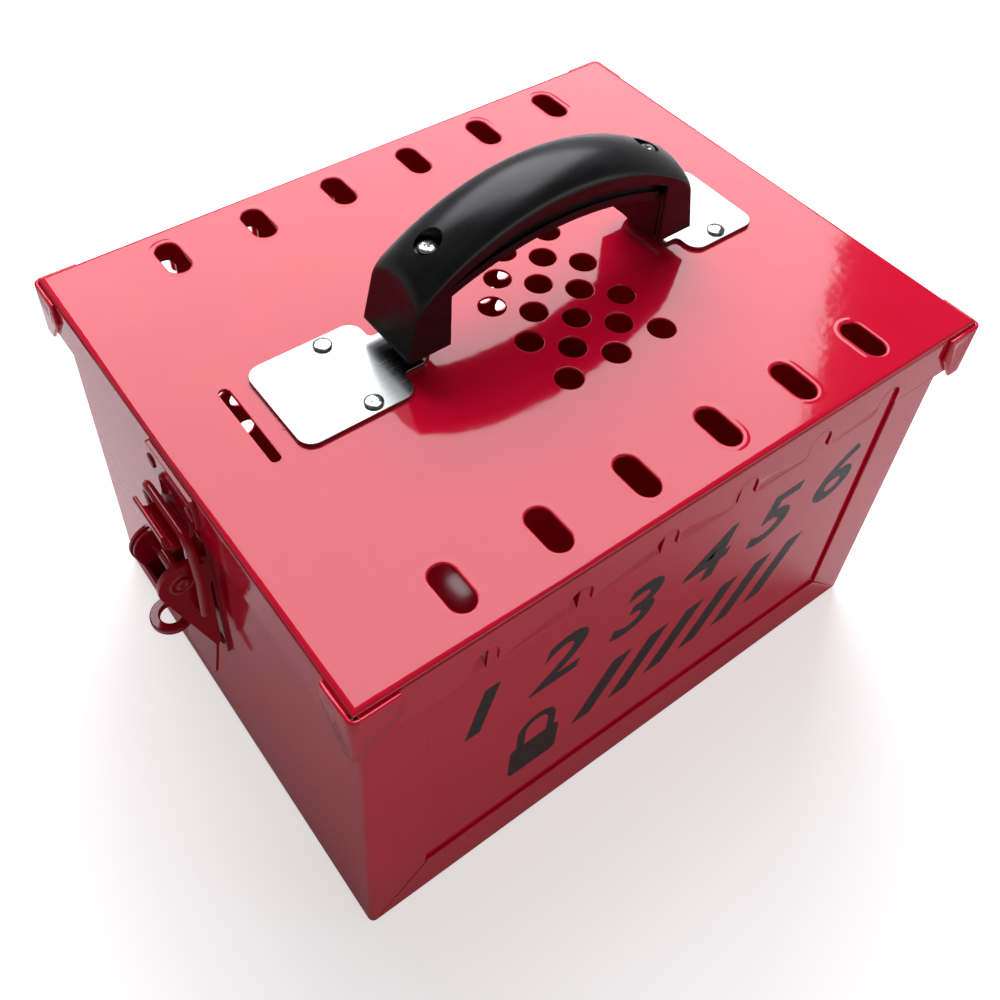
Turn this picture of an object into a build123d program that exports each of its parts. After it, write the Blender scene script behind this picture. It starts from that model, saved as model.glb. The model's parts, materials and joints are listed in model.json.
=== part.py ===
"""Group lockout box: a steel box whose lid takes a row of padlocks along each long side.

Millimetres. X runs along the length, Y from front to back, Z up.
The origin is the centre of the base, on the surface that the box stands on.
The latch is on the -X end and the lid hinge on the +X end.
"""
import os
from math import atan2, cos, degrees, radians, sin, sqrt

from build123d import *

# Whole box
HEIGHT = 170.0
LID_LENGTH = 262.0
LID_WIDTH = 206.0
SHEET = 1.2
BEND_RADIUS = 2.4
SKIRT_DEPTH = 21.0
SKIRT_GAP = 2.3
LID_GAP = 0.4
RELIEF_GAP = 0.2

# Padlock slots in the lid, with a notch in the skirt and an arch in the wall beside each
SLOT_COUNT = 6
SLOT_PITCH = 35.25
SLOT_ROW_CENTRE_X = 1.5
SLOT_ROW_Y = 85.8
SLOT_LENGTH = 18.0
SLOT_WIDTH = 9.0
NOTCH_WIDTH = 9.5
NOTCH_TOP_DEPTH = 10.0
NOTCH_FLARE = 2.0
ARCH_BOTTOM_DEPTH = 30.5
TONGUE_LENGTH = 19.5
TONGUE_LEAN = 28.0
TONGUE_SIDE_GAP = 0.4

# Vent holes in the lid and the back panel, in staggered rows
VENT_RADIUS = 5.0
VENT_STEP = 10.5
LID_VENT_CENTRE_X = 14.2
LID_VENT_ROWS = 9
LID_VENT_COLUMNS = 5
BACK_VENT_CENTRE_X = 3.5
BACK_VENT_TOP_DEPTH = 77.5
BACK_VENT_ROWS = 5
BACK_VENT_COLUMNS = 16

# Key slot in the lid
KEY_SLOT_X = -103.4
KEY_SLOT_LENGTH = 36.5
KEY_SLOT_WIDTH = 3.8

# Body frame: return flanges round the recessed front and back panels
FLANGE = 24.0
MITRE_WIDTH = 0.4
MITRE_END_GAP = 4.0

# Corner clips on the lid
CLIP_LEG = 16.5
CLIP_TOP_DEPTH = 1.7
CLIP_BOTTOM_DEPTH = 24.0
CLIP_END_DEPTH = 11.3
CLIP_FOOT = 7.5
CLIP_BEND = 3.0
CLIP_THICKNESS = 1.5

# Hinge at the +X end
HINGE_LENGTH = 120.0
HINGE_KNUCKLES = 5
KNUCKLE_GAP = 0.4
HINGE_PIN_RADIUS = 1.5
HINGE_RUNNING_GAP = 0.05
HINGE_AXIS_DROP = 3.0
HINGE_LID_LEAF_HEIGHT = 15.0
HINGE_BODY_LEAF_HEIGHT = 26.0
HINGE_JOG_TOP = 4.4
HINGE_JOG_BOTTOM = 9.5
HINGE_RIVET_Y = 48.0
HINGE_LID_RIVET_RISE = 8.5
HINGE_BODY_RIVET_RISE = 8.0
HINGE_PIN_END = 0.5

# Handle strap
STRAP_THICKNESS = 1.5
STRAP_HALF_WIDTH = 20.0
STRAP_CORNER = 5.5
NECK_HALF_WIDTH = 10.25
NECK_NOTCH_RADIUS = 2.0
HANDLE_CENTRE_X = 11.5
LEFT_PLATE_X = (-94.6, -51.5)
RIGHT_PLATE_X = (72.5, 104.6)
STRAP_RISE_OFFSET = 53.0
STRAP_KNEE_OFFSET = 34.0
STRAP_ARC_RADIUS = 88.0
STRAP_ARC_DROP = 40.0
STRAP_BEND = 3.0
LEFT_RIVET_INSET = 28.0
RIGHT_RIVET_INSET = 17.2
HANDLE_RIVET_Y = 15.6

# Grip, measured from the handle's centre and the lid's top. An arc's drop is how far
# its centre lies below the lid's top.
GRIP_CROWN_RADIUS = 96.5
GRIP_CROWN_DROP = 41.5
GRIP_SECTION_RADIUS = 22.5
GRIP_EDGE_RADIUS = 97.0
GRIP_EDGE_DROP = 52.0
GRIP_UNDERSIDE_RADIUS = 118.0
GRIP_UNDERSIDE_DROP = 82.7
GRIP_FOOT_HALF = 63.1
GRIP_SHOULDER_HALF = 58.6
GRIP_SHOULDER_HEIGHT = 31.2
GRIP_ROUNDING_HALF = 55.4
GRIP_ROUNDING_HEIGHT = 36.9
GRIP_FOOT_HEIGHT = 8.5
GRIP_FOOT_HALF_WIDTH = 13.9
GRIP_CREST_HALF_WIDTH = 13.0
GRIP_CREST_HEIGHT = 51.0
GRIP_INNER_HALF = 46.5
GRIP_WALL = 2.2
GRIP_SWEEP = 130.0
GRIP_SCREW_OFFSET = 46.5
GRIP_SCREW_SEAT = 39.4
GRIP_COUNTERBORE_RADIUS = 4.6
GRIP_BOSS_RADIUS = 5.5
GRIP_SEAM = 1.0
LINER_LIP_HEIGHT = 3.2
LINER_LIP_HALF_WIDTH = 11.0
LINER_WALL_HALF_WIDTH = 9.5

# Fasteners
RIVET_SHANK_RADIUS = 2.0
RIVET_HEAD_RADIUS = 3.2
RIVET_HEAD_HEIGHT = 1.8
RIVET_TAIL_HEIGHT = 1.0
SMALL_RIVET_RADIUS = 1.6
SMALL_HEAD_RADIUS = 2.7
SMALL_HEAD_HEIGHT = 0.9
SCREW_RADIUS = 1.75
SCREW_HEAD_RADIUS = 3.5
SCREW_HEAD_HEIGHT = 2.2
SCREW_LENGTH = 17.0
SCREW_HOLE_GAP = 0.3

# Keeper on the lid's left skirt, with a hook that opens upwards
KEEPER_THICKNESS = 1.5
KEEPER_HALF_WIDTH = 16.5
KEEPER_CORNER = 2.4
KEEPER_TOP_DEPTH = 2.8
KEEPER_BOTTOM_DEPTH = 16.5
KEEPER_RIVET_Y = 13.0
KEEPER_RIVET_DEPTH = 10.5
HOOK_HALF_WIDTH = 10.0
HOOK_INNER_RADIUS = 4.1
HOOK_CENTRE_DEPTH = 22.4
HOOK_LIP_DEPTH = 19.0

# Latch: lever, bail and base, with depths below the lid's top
PIVOT_OUT = 11.3
PIVOT_DEPTH = 45.0
LEVER_EAR_RADIUS = 8.8
LEVER_HALF_WIDTH = 11.0
LEVER_FOOT_OUT = 4.4
LEVER_FOOT_DEPTH = 88.2
LEVER_FOOT_RADIUS = 1.2
WEB_TOP_REACH = 8.0
TAIL_OUT = 7.6
TAIL_DEPTH = 108.2
TAIL_CORNER = 5.0
TAIL_BEND = 5.0
RING_SLOT_GAP = 0.5
BAIL_RADIUS = 1.6
BAIL_HALF_WIDTH = 15.4
BAIL_PIVOT_OUT = 8.0
BAIL_PIVOT_DEPTH = 61.2
BAIL_BAR_OUT = 8.2
BAIL_BAR_DEPTH = 20.4
BAIL_BOW_OUT = 7.3
BAIL_BOW_DEPTH = 41.0
BAIL_CORNER = 4.5
BAIL_FOOT_BEND = 2.4
BAIL_END_Y = 9.0
RUNNING_GAP = 0.05
CHEEK_GAP = 0.4
BASE_THICKNESS = 1.3
BASE_TOP_DEPTH = 29.5
BASE_BOTTOM_DEPTH = 102.0
BASE_CORNER = 2.0
BASE_EAR_RADIUS = 8.2
BASE_EAR_RISE = 5.0
BASE_EAR_FALL = 10.0
BASE_RIVET_Y = 5.0
BASE_RIVET_TOP_INSET = 4.0
BASE_RIVET_BOTTOM_INSET = 5.5
LEVER_PIN_RADIUS = 2.0
LEVER_PIN_HEAD_RADIUS = 2.75
LEVER_PIN_HEAD_HEIGHT = 0.75

# Padlock ring that stands out through the lever
RING_DEPTH = 75.0
RING_THICKNESS = 2.5
RING_OUT = 15.0
RING_OUTER_RADIUS = 7.5
RING_HOLE_RADIUS = 4.0
RING_NECK_WIDTH = 12.0

# Places worked out from the sizes above
LID_X = LID_LENGTH / 2
LID_Y = LID_WIDTH / 2
BODY_X = LID_X - SHEET - SKIRT_GAP
BODY_Y = LID_Y - SHEET - SKIRT_GAP
BODY_HEIGHT = HEIGHT - SHEET - LID_GAP
SKIRT_BOTTOM = HEIGHT - SKIRT_DEPTH
PANEL_OUTER_Y = BODY_Y - SHEET
PANEL_INNER_Y = PANEL_OUTER_Y - SHEET
WALL_X = -BODY_X
HOLE_MARGIN = 2.0


def block(x_range, y_range, z_range):
    """Box between two limits on each axis."""
    (x0, x1), (y0, y1), (z0, z1) = x_range, y_range, z_range
    return Pos((x0 + x1) / 2, (y0 + y1) / 2, (z0 + z1) / 2) * Box(x1 - x0, y1 - y0, z1 - z0)


def along_x(sketch, x_low, x_high):
    """Solid from a sketch in Y and Z."""
    return extrude(Plane.YZ.offset(x_low) * sketch, amount=x_high - x_low)


def along_y(sketch, y_low, y_high):
    """Solid from a sketch in X and Z."""
    return extrude(Plane.XZ.offset(-y_high) * sketch, amount=y_high - y_low)


def along_z(sketch, z_low, z_high):
    """Solid from a sketch in X and Y."""
    return extrude(Plane.XY.offset(z_low) * sketch, amount=z_high - z_low)


def turned_y(radius, x, z, y_low, y_high):
    """Round bar along Y."""
    return along_y(Pos(x, z) * Circle(radius), y_low, y_high)


def turned_x(radius, y, z, x_low, x_high):
    """Round bar along X."""
    return along_x(Pos(y, z) * Circle(radius), x_low, x_high)


def turned_z(radius, x, y, z_low, z_high):
    """Round bar along Z."""
    return along_z(Pos(x, y) * Circle(radius), z_low, z_high)


def slot_positions():
    """X of each padlock slot."""
    first = SLOT_ROW_CENTRE_X - SLOT_PITCH * (SLOT_COUNT - 1) / 2
    return [first + SLOT_PITCH * index for index in range(SLOT_COUNT)]


def staggered(columns, rows, centre_x, first_row, row_step, phase):
    """Centres of staggered holes, as pairs across and along the rows."""
    first_column = centre_x - VENT_STEP * (columns - 1) / 2
    points = []
    for column in range(columns):
        for row in range(rows):
            if (column + row) % 2 == phase:
                points.append((first_column + VENT_STEP * column, first_row + row_step * row))
    return points


def arch_sketch(width, bottom, top):
    """Door shape with a half-round head, centred on zero."""
    radius = width / 2
    straight = top - radius - bottom
    return Pos(0, bottom + straight / 2) * Rectangle(width, straight) + Pos(0, top - radius) * Circle(radius)


def notch_sketch():
    """Skirt notch: arch head, straight sides, and rounded corners at the open bottom."""
    top = HEIGHT - NOTCH_TOP_DEPTH
    half = NOTCH_WIDTH / 2
    flare_top = SKIRT_BOTTOM + NOTCH_FLARE
    shape = arch_sketch(NOTCH_WIDTH, SKIRT_BOTTOM - HOLE_MARGIN, top)
    flare = Pos(0, SKIRT_BOTTOM) * Rectangle(2 * (half + NOTCH_FLARE), 2 * NOTCH_FLARE)
    for side in (-1, 1):
        flare -= Pos(side * (half + NOTCH_FLARE), flare_top) * Circle(NOTCH_FLARE)
    return shape + flare


def lid_panel():
    """Lid pressed from one sheet: a top with four skirts and all its holes."""
    outer = block((-LID_X, LID_X), (-LID_Y, LID_Y), (SKIRT_BOTTOM, HEIGHT))
    outer = fillet(outer.edges().group_by(Axis.Z)[-1], BEND_RADIUS)
    inner_x = LID_X - SHEET
    inner_y = LID_Y - SHEET
    inner = block((-inner_x, inner_x), (-inner_y, inner_y), (SKIRT_BOTTOM - HOLE_MARGIN, HEIGHT - SHEET))
    inner = fillet(inner.edges().group_by(Axis.Z)[-1], BEND_RADIUS - SHEET)
    lid = outer - inner
    relief = 2 * BEND_RADIUS
    relief_height = SKIRT_DEPTH - SHEET - RELIEF_GAP
    for side_x in (-1, 1):
        for side_y in (-1, 1):
            corner = Pos(side_x * LID_X, side_y * LID_Y, SKIRT_BOTTOM + relief_height / 2)
            lid -= corner * Box(relief, relief, relief_height)
    openings = []
    for x in slot_positions():
        openings.append(along_y(Pos(x, 0) * notch_sketch(), -LID_Y - HOLE_MARGIN, LID_Y + HOLE_MARGIN))
        for side in (-1, 1):
            slot = Pos(x, side * SLOT_ROW_Y) * SlotOverall(SLOT_LENGTH, SLOT_WIDTH, rotation=90)
            openings.append(along_z(slot, HEIGHT - HOLE_MARGIN, HEIGHT + HOLE_MARGIN))
    key_slot = Pos(KEY_SLOT_X, 0) * SlotOverall(KEY_SLOT_LENGTH, KEY_SLOT_WIDTH, rotation=90)
    openings.append(along_z(key_slot, HEIGHT - HOLE_MARGIN, HEIGHT + HOLE_MARGIN))
    first_row = -VENT_STEP * (LID_VENT_ROWS - 1) / 2
    for x, y in staggered(LID_VENT_COLUMNS, LID_VENT_ROWS, LID_VENT_CENTRE_X, first_row, VENT_STEP, 0):
        openings.append(turned_z(VENT_RADIUS, x, y, HEIGHT - HOLE_MARGIN, HEIGHT + HOLE_MARGIN))
    for x in handle_rivet_x():
        for side in (-1, 1):
            y = side * HANDLE_RIVET_Y
            openings.append(turned_z(RIVET_SHANK_RADIUS, x, y, HEIGHT - HOLE_MARGIN, HEIGHT + HOLE_MARGIN))
    for side in (-1, 1):
        keeper_z = HEIGHT - KEEPER_RIVET_DEPTH
        openings.append(turned_x(SMALL_RIVET_RADIUS, side * KEEPER_RIVET_Y, keeper_z, -LID_X - 1, -LID_X + 2))
        hinge_z = hinge_lid_rivet_z()
        openings.append(turned_x(SMALL_RIVET_RADIUS, side * HINGE_RIVET_Y, hinge_z, LID_X - 2, LID_X + 1))
    return lid - openings


def lid_corner_clips():
    """Four identical clips."""
    far_x = LID_X + CLIP_THICKNESS
    far_y = LID_Y + CLIP_THICKNESS
    middle_x = LID_X + CLIP_THICKNESS / 2
    middle_y = LID_Y + CLIP_THICKNESS / 2
    top = HEIGHT - CLIP_TOP_DEPTH
    bottom = HEIGHT - CLIP_BOTTOM_DEPTH
    path = FilletPolyline(
        (far_x - CLIP_LEG, middle_y),
        (middle_x, middle_y),
        (middle_x, far_y - CLIP_LEG),
        radius=CLIP_BEND - CLIP_THICKNESS / 2,
    )
    clip = along_z(trace(path, CLIP_THICKNESS), bottom, top)
    end_z = HEIGHT - CLIP_END_DEPTH
    clip -= along_y(clip_taper(far_x, end_z, bottom), LID_Y - HOLE_MARGIN, far_y + HOLE_MARGIN)
    clip -= along_x(clip_taper(far_y, end_z, bottom), LID_X - HOLE_MARGIN, far_x + HOLE_MARGIN)
    pair = [clip, mirror(clip, Plane.YZ)]
    return pair + [mirror(piece, Plane.XZ) for piece in pair]


def clip_taper(far, end_z, bottom):
    """What is cut off the lower end of a clip's leg."""
    leg_end = far - CLIP_LEG - HOLE_MARGIN
    return Polygon((leg_end, end_z), (leg_end, bottom - HOLE_MARGIN), (far - CLIP_FOOT, bottom - HOLE_MARGIN),
                   (far - CLIP_FOOT, bottom), (far - CLIP_LEG, end_z), align=None)


def body_wrapper():
    """Bottom and two ends folded from one sheet, with return flanges round the front and back."""
    outer = block((-BODY_X, BODY_X), (-BODY_Y, BODY_Y), (0, BODY_HEIGHT))
    folds = outer.edges().filter_by(Axis.Z) + outer.edges().group_by(Axis.Z)[0]
    outer = fillet(folds, BEND_RADIUS)
    inner_x = BODY_X - SHEET
    inner_y = BODY_Y - SHEET
    inner = block((-inner_x, inner_x), (-inner_y, inner_y), (SHEET, BODY_HEIGHT + HOLE_MARGIN))
    inner_folds = inner.edges().filter_by(Axis.Z) + inner.edges().group_by(Axis.Z)[0]
    inner = fillet(inner_folds, BEND_RADIUS - SHEET)
    body = outer - inner
    window_x = BODY_X - FLANGE
    body -= block((-window_x, window_x), (-LID_Y, LID_Y), (FLANGE, HEIGHT))
    reach = FLANGE - MITRE_END_GAP
    for side in (-1, 1):
        middle = MITRE_END_GAP + reach / 2
        seam = Rectangle(reach * sqrt(2) + MITRE_WIDTH, MITRE_WIDTH)
        placed = Pos(side * (BODY_X - middle), middle) * Rot(0, 0, -45 * side) * seam
        body -= along_y(placed, -LID_Y, -PANEL_OUTER_Y)
        body -= along_y(placed, PANEL_OUTER_Y, LID_Y)
    holes = []
    for z in base_rivet_heights():
        for side in (-1, 1):
            y = side * BASE_RIVET_Y
            holes.append(turned_x(SMALL_RIVET_RADIUS, y, z, WALL_X - HOLE_MARGIN, WALL_X + HOLE_MARGIN))
    for side in (-1, 1):
        y = side * HINGE_RIVET_Y
        z = hinge_body_rivet_z()
        holes.append(turned_x(SMALL_RIVET_RADIUS, y, z, BODY_X - HOLE_MARGIN, BODY_X + HOLE_MARGIN))
    return body - holes


def wall_panel(vented):
    """Recessed panel behind the front flanges, with an arch and a bent-in tongue at each slot."""
    half = BODY_X - BEND_RADIUS
    panel = block((-half, half), (-PANEL_OUTER_Y, -PANEL_INNER_Y), (BEND_RADIUS, BODY_HEIGHT))
    bottom = HEIGHT - ARCH_BOTTOM_DEPTH
    top = HEIGHT - NOTCH_TOP_DEPTH
    arch = arch_sketch(NOTCH_WIDTH, bottom, top)
    panel -= [along_y(Pos(x, 0) * arch, -LID_Y, -PANEL_INNER_Y + 1) for x in slot_positions()]
    if vented:
        first_row = HEIGHT - BACK_VENT_TOP_DEPTH
        points = staggered(BACK_VENT_COLUMNS, BACK_VENT_ROWS, BACK_VENT_CENTRE_X, first_row, -VENT_STEP, 1)
        panel -= [turned_y(VENT_RADIUS, x, z, -LID_Y, -PANEL_INNER_Y + 1) for x, z in points]
    tongue = bent_tongue(bottom)
    for x in slot_positions():
        panel += Pos(x, 0, 0) * tongue
    return panel


def bent_tongue(bottom):
    """Tongue lanced from the arch and bent inwards about the arch's bottom edge."""
    lean = radians(TONGUE_LEAN)
    across = (-cos(lean) * SHEET, sin(lean) * SHEET)
    tip = (sin(lean) * TONGUE_LENGTH, cos(lean) * TONGUE_LENGTH)
    root = SHEET / 2
    outline = Polygon((-SHEET, -root), (0, -root), (0, 0), tip, (tip[0] + across[0], tip[1] + across[1]),
                      across, (-SHEET, 0), align=None)
    width = NOTCH_WIDTH - 2 * TONGUE_SIDE_GAP
    strip = along_x(Pos(-PANEL_INNER_Y, bottom) * outline, -width / 2, width / 2)
    rounding = along_y(arch_sketch(width, -2 * SHEET, TONGUE_LENGTH), -2 * SHEET, 2 * SHEET)
    rounding = Pos(0, -PANEL_INNER_Y, bottom) * Rot(-TONGUE_LEAN, 0, 0) * rounding
    return strip & rounding


def hinge_axis():
    """X and Z of the hinge pin."""
    return LID_X + knuckle_radius(), SKIRT_BOTTOM - HINGE_AXIS_DROP


def knuckle_radius():
    """Outside radius of a hinge knuckle."""
    return HINGE_PIN_RADIUS + HINGE_RUNNING_GAP + SHEET


def hinge_lid_rivet_z():
    """Height of the rivets through the lid's leaf."""
    return SKIRT_BOTTOM + HINGE_LID_RIVET_RISE


def hinge_body_rivet_z():
    """Height of the rivets through the body's leaf."""
    return hinge_axis()[1] - HINGE_BODY_LEAF_HEIGHT + HINGE_BODY_RIVET_RISE


def knuckle_spans(first):
    """Y limits of every second knuckle, from the given one."""
    pitch = HINGE_LENGTH / HINGE_KNUCKLES
    low = -HINGE_LENGTH / 2
    spans = []
    for index in range(first, HINGE_KNUCKLES, 2):
        spans.append((low + pitch * index + KNUCKLE_GAP / 2, low + pitch * (index + 1) - KNUCKLE_GAP / 2))
    return spans


def hinge_leaf(profile, first_knuckle, bore_radius, clear_side):
    """Leaf with its knuckles, cut away where the other leaf's knuckles turn."""
    x, z = hinge_axis()
    radius = knuckle_radius()
    leaf = along_y(profile, -HINGE_LENGTH / 2, HINGE_LENGTH / 2)
    for low, high in knuckle_spans(1 - first_knuckle):
        reach = radius + KNUCKLE_GAP
        gap = (low - KNUCKLE_GAP, high + KNUCKLE_GAP)
        span = (z, z + reach) if clear_side > 0 else (z - reach, z)
        leaf -= block((x - 2 * reach, x + reach), gap, span)
    for low, high in knuckle_spans(first_knuckle):
        leaf += turned_y(radius, x, z, low, high)
    return leaf - turned_y(bore_radius, x, z, -HINGE_LENGTH, HINGE_LENGTH)


def hinge_lid_leaf():
    """Leaf riveted to the lid's skirt."""
    x, z = hinge_axis()
    left = x - knuckle_radius()
    top = SKIRT_BOTTOM + HINGE_LID_LEAF_HEIGHT
    profile = Pos(left + SHEET / 2, (z + top) / 2) * Rectangle(SHEET, top - z)
    leaf = hinge_leaf(profile, 1, HINGE_PIN_RADIUS + HINGE_RUNNING_GAP, 1)
    for side in (-1, 1):
        y = side * HINGE_RIVET_Y
        leaf -= turned_x(SMALL_RIVET_RADIUS, y, hinge_lid_rivet_z(), left - HOLE_MARGIN, left + HOLE_MARGIN)
    return leaf


def hinge_body_leaf():
    """Leaf riveted to the end wall, stepped out to the pin past the lid's overhang."""
    x, z = hinge_axis()
    left = x - knuckle_radius()
    path = FilletPolyline(
        (BODY_X + SHEET / 2, z - HINGE_BODY_LEAF_HEIGHT),
        (BODY_X + SHEET / 2, z - HINGE_JOG_BOTTOM),
        (left + SHEET / 2, z - HINGE_JOG_TOP),
        (left + SHEET / 2, z),
        radius=SHEET,
    )
    leaf = hinge_leaf(trace(path, SHEET), 0, HINGE_PIN_RADIUS, -1)
    for side in (-1, 1):
        y = side * HINGE_RIVET_Y
        leaf -= turned_x(SMALL_RIVET_RADIUS, y, hinge_body_rivet_z(), BODY_X - HOLE_MARGIN, BODY_X + HOLE_MARGIN)
    return leaf


def hinge_pin():
    """Pin through all the knuckles."""
    x, z = hinge_axis()
    end = HINGE_LENGTH / 2 + HINGE_PIN_END
    return turned_y(HINGE_PIN_RADIUS, x, z, -end, end)


def end_rivet(y, z, inside, head_seat, outward):
    """Small rivet along X: head outside, formed end inside."""
    shank = turned_x(SMALL_RIVET_RADIUS, y, z, min(inside, head_seat), max(inside, head_seat))
    head_end = head_seat + outward * SMALL_HEAD_HEIGHT
    head = turned_x(SMALL_HEAD_RADIUS, y, z, min(head_seat, head_end), max(head_seat, head_end))
    tail_end = inside - outward * RIVET_TAIL_HEIGHT
    tail = turned_x(SMALL_HEAD_RADIUS, y, z, min(tail_end, inside), max(tail_end, inside))
    return head + shank + tail


def hinge_lid_rivets():
    """Rivets through the lid's leaf and skirt."""
    seat = LID_X + SHEET
    inside = LID_X - SHEET
    return [end_rivet(side * HINGE_RIVET_Y, hinge_lid_rivet_z(), inside, seat, 1) for side in (-1, 1)]


def hinge_body_rivets():
    """Rivets through the body's leaf and end wall."""
    seat = BODY_X + SHEET
    inside = BODY_X - SHEET
    return [end_rivet(side * HINGE_RIVET_Y, hinge_body_rivet_z(), inside, seat, 1) for side in (-1, 1)]


def strap_plate(x_range, inner_x, toward):
    """Flat end of the strap, with its corners rounded and a small radius beside the neck."""
    low, high = x_range
    plate = Pos((low + high) / 2, 0) * RectangleRounded(high - low, 2 * STRAP_HALF_WIDTH, STRAP_CORNER)
    for side in (-1, 1):
        corner_y = side * (NECK_HALF_WIDTH + NECK_NOTCH_RADIUS / 2)
        plate += Pos(inner_x + toward * NECK_NOTCH_RADIUS / 2, corner_y) * Rectangle(NECK_NOTCH_RADIUS,
                                                                                     NECK_NOTCH_RADIUS)
        centre_y = side * (NECK_HALF_WIDTH + NECK_NOTCH_RADIUS)
        plate -= Pos(inner_x + toward * NECK_NOTCH_RADIUS, centre_y) * Circle(NECK_NOTCH_RADIUS)
    return plate


def strap_height(offset):
    """Height of the strap's centreline above the lid, between its riser and its knee."""
    low = arc_height(STRAP_ARC_RADIUS, STRAP_ARC_DROP, STRAP_RISE_OFFSET)
    high = arc_height(STRAP_ARC_RADIUS, STRAP_ARC_DROP, STRAP_KNEE_OFFSET)
    share = (STRAP_RISE_OFFSET - offset) / (STRAP_RISE_OFFSET - STRAP_KNEE_OFFSET)
    return low + share * (high - low)


def handle_strap():
    """One steel strap: a plate at each end, risers, and an arch inside the grip."""
    middle = STRAP_THICKNESS / 2
    left_rise = HANDLE_CENTRE_X - STRAP_RISE_OFFSET
    right_rise = HANDLE_CENTRE_X + STRAP_RISE_OFFSET
    offsets = (-STRAP_RISE_OFFSET, -STRAP_KNEE_OFFSET, 0, STRAP_KNEE_OFFSET, STRAP_RISE_OFFSET)
    heights = [arc_height(STRAP_ARC_RADIUS, STRAP_ARC_DROP, offset) for offset in offsets]
    arch = [(HANDLE_CENTRE_X + offset, height) for offset, height in zip(offsets, heights)]
    path = FilletPolyline(
        (LEFT_PLATE_X[1] - STRAP_CORNER, middle),
        (left_rise, middle),
        *arch,
        (right_rise, middle),
        (RIGHT_PLATE_X[0] + STRAP_CORNER, middle),
        radius=STRAP_BEND,
    )
    strap = along_y(Pos(0, HEIGHT) * trace(path, STRAP_THICKNESS), -NECK_HALF_WIDTH, NECK_HALF_WIDTH)
    plates = strap_plate(LEFT_PLATE_X, LEFT_PLATE_X[1], 1)
    plates += strap_plate(RIGHT_PLATE_X, RIGHT_PLATE_X[0], -1)
    strap += along_z(plates, HEIGHT, HEIGHT + STRAP_THICKNESS)
    for x in handle_rivet_x():
        for side in (-1, 1):
            y = side * HANDLE_RIVET_Y
            strap -= turned_z(RIVET_SHANK_RADIUS, x, y, HEIGHT - HOLE_MARGIN, HEIGHT + HOLE_MARGIN)
    for x in screw_positions():
        hole_radius = SCREW_RADIUS + SCREW_HOLE_GAP
        strap -= turned_z(hole_radius, x, 0, HEIGHT + GRIP_FOOT_HEIGHT, HEIGHT + GRIP_CROWN_RADIUS)
    return strap


def handle_rivet_x():
    """X of the rivets in the strap's left plate and in its right plate."""
    return (LEFT_PLATE_X[0] + LEFT_RIVET_INSET, RIGHT_PLATE_X[1] - RIGHT_RIVET_INSET)


def screw_positions():
    """X of the two grip screws."""
    return (HANDLE_CENTRE_X - GRIP_SCREW_OFFSET, HANDLE_CENTRE_X + GRIP_SCREW_OFFSET)


def arc_height(radius, drop, offset):
    """Height above the lid of a grip arc at an offset from the handle's centre."""
    return sqrt(radius ** 2 - offset ** 2) - drop


def grip_envelope(inset):
    """Outer form of the grip, or the same form moved inwards by a wall."""
    slope = (GRIP_FOOT_HALF - GRIP_SHOULDER_HALF) / (GRIP_SHOULDER_HEIGHT - GRIP_FOOT_HEIGHT)
    low = GRIP_FOOT_HEIGHT - inset
    high = GRIP_CROWN_RADIUS
    foot = GRIP_FOOT_HALF - inset + slope * inset
    shoulder = GRIP_SHOULDER_HALF - inset
    rounding = GRIP_ROUNDING_HALF - inset
    right = [(foot, low), (shoulder, GRIP_SHOULDER_HEIGHT)]
    right += [(rounding, GRIP_ROUNDING_HEIGHT), (rounding, high)]
    left = [(-x, z) for x, z in reversed(right)]
    side_view = Polygon(*right, *left, align=None)
    taper = (GRIP_FOOT_HALF_WIDTH - GRIP_CREST_HALF_WIDTH) / (GRIP_CREST_HEIGHT - GRIP_FOOT_HEIGHT)
    wide = GRIP_FOOT_HALF_WIDTH - inset + taper * inset
    narrow = wide - taper * (high - low)
    end_view = Polygon((-wide, low), (wide, low), (narrow, high), (-narrow, high), align=None)
    form = along_y(side_view, -GRIP_FOOT_HALF, GRIP_FOOT_HALF) & along_x(end_view, -2 * foot, 2 * foot)
    section_radius = GRIP_SECTION_RADIUS - inset
    centre = GRIP_CROWN_RADIUS - GRIP_SECTION_RADIUS
    section = Pos(0, centre) * Circle(section_radius)
    section += Pos(0, centre / 2) * Rectangle(2 * section_radius, centre)
    half_section = section & (Pos(0, centre) * Rectangle(2 * GRIP_CROWN_RADIUS, 2 * centre))
    crown = Rot(0, -GRIP_SWEEP / 2, 0) * revolve(Plane.YZ * half_section, Axis.Y, GRIP_SWEEP)
    return form & (Pos(0, 0, -GRIP_CROWN_DROP) * crown)


def under_arc(radius, drop, half_length, half_width):
    """Space between the lid's top and an arc of the grip, between two end planes."""
    sketch = Pos(0, -drop) * Circle(radius)
    sketch &= Pos(0, radius) * Rectangle(2 * half_length, 2 * radius)
    return along_y(sketch, -half_width, half_width)


def place_on_handle(shape):
    """Move a shape from handle measures to the part's frame."""
    return Pos(HANDLE_CENTRE_X, 0, HEIGHT) * shape


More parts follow.
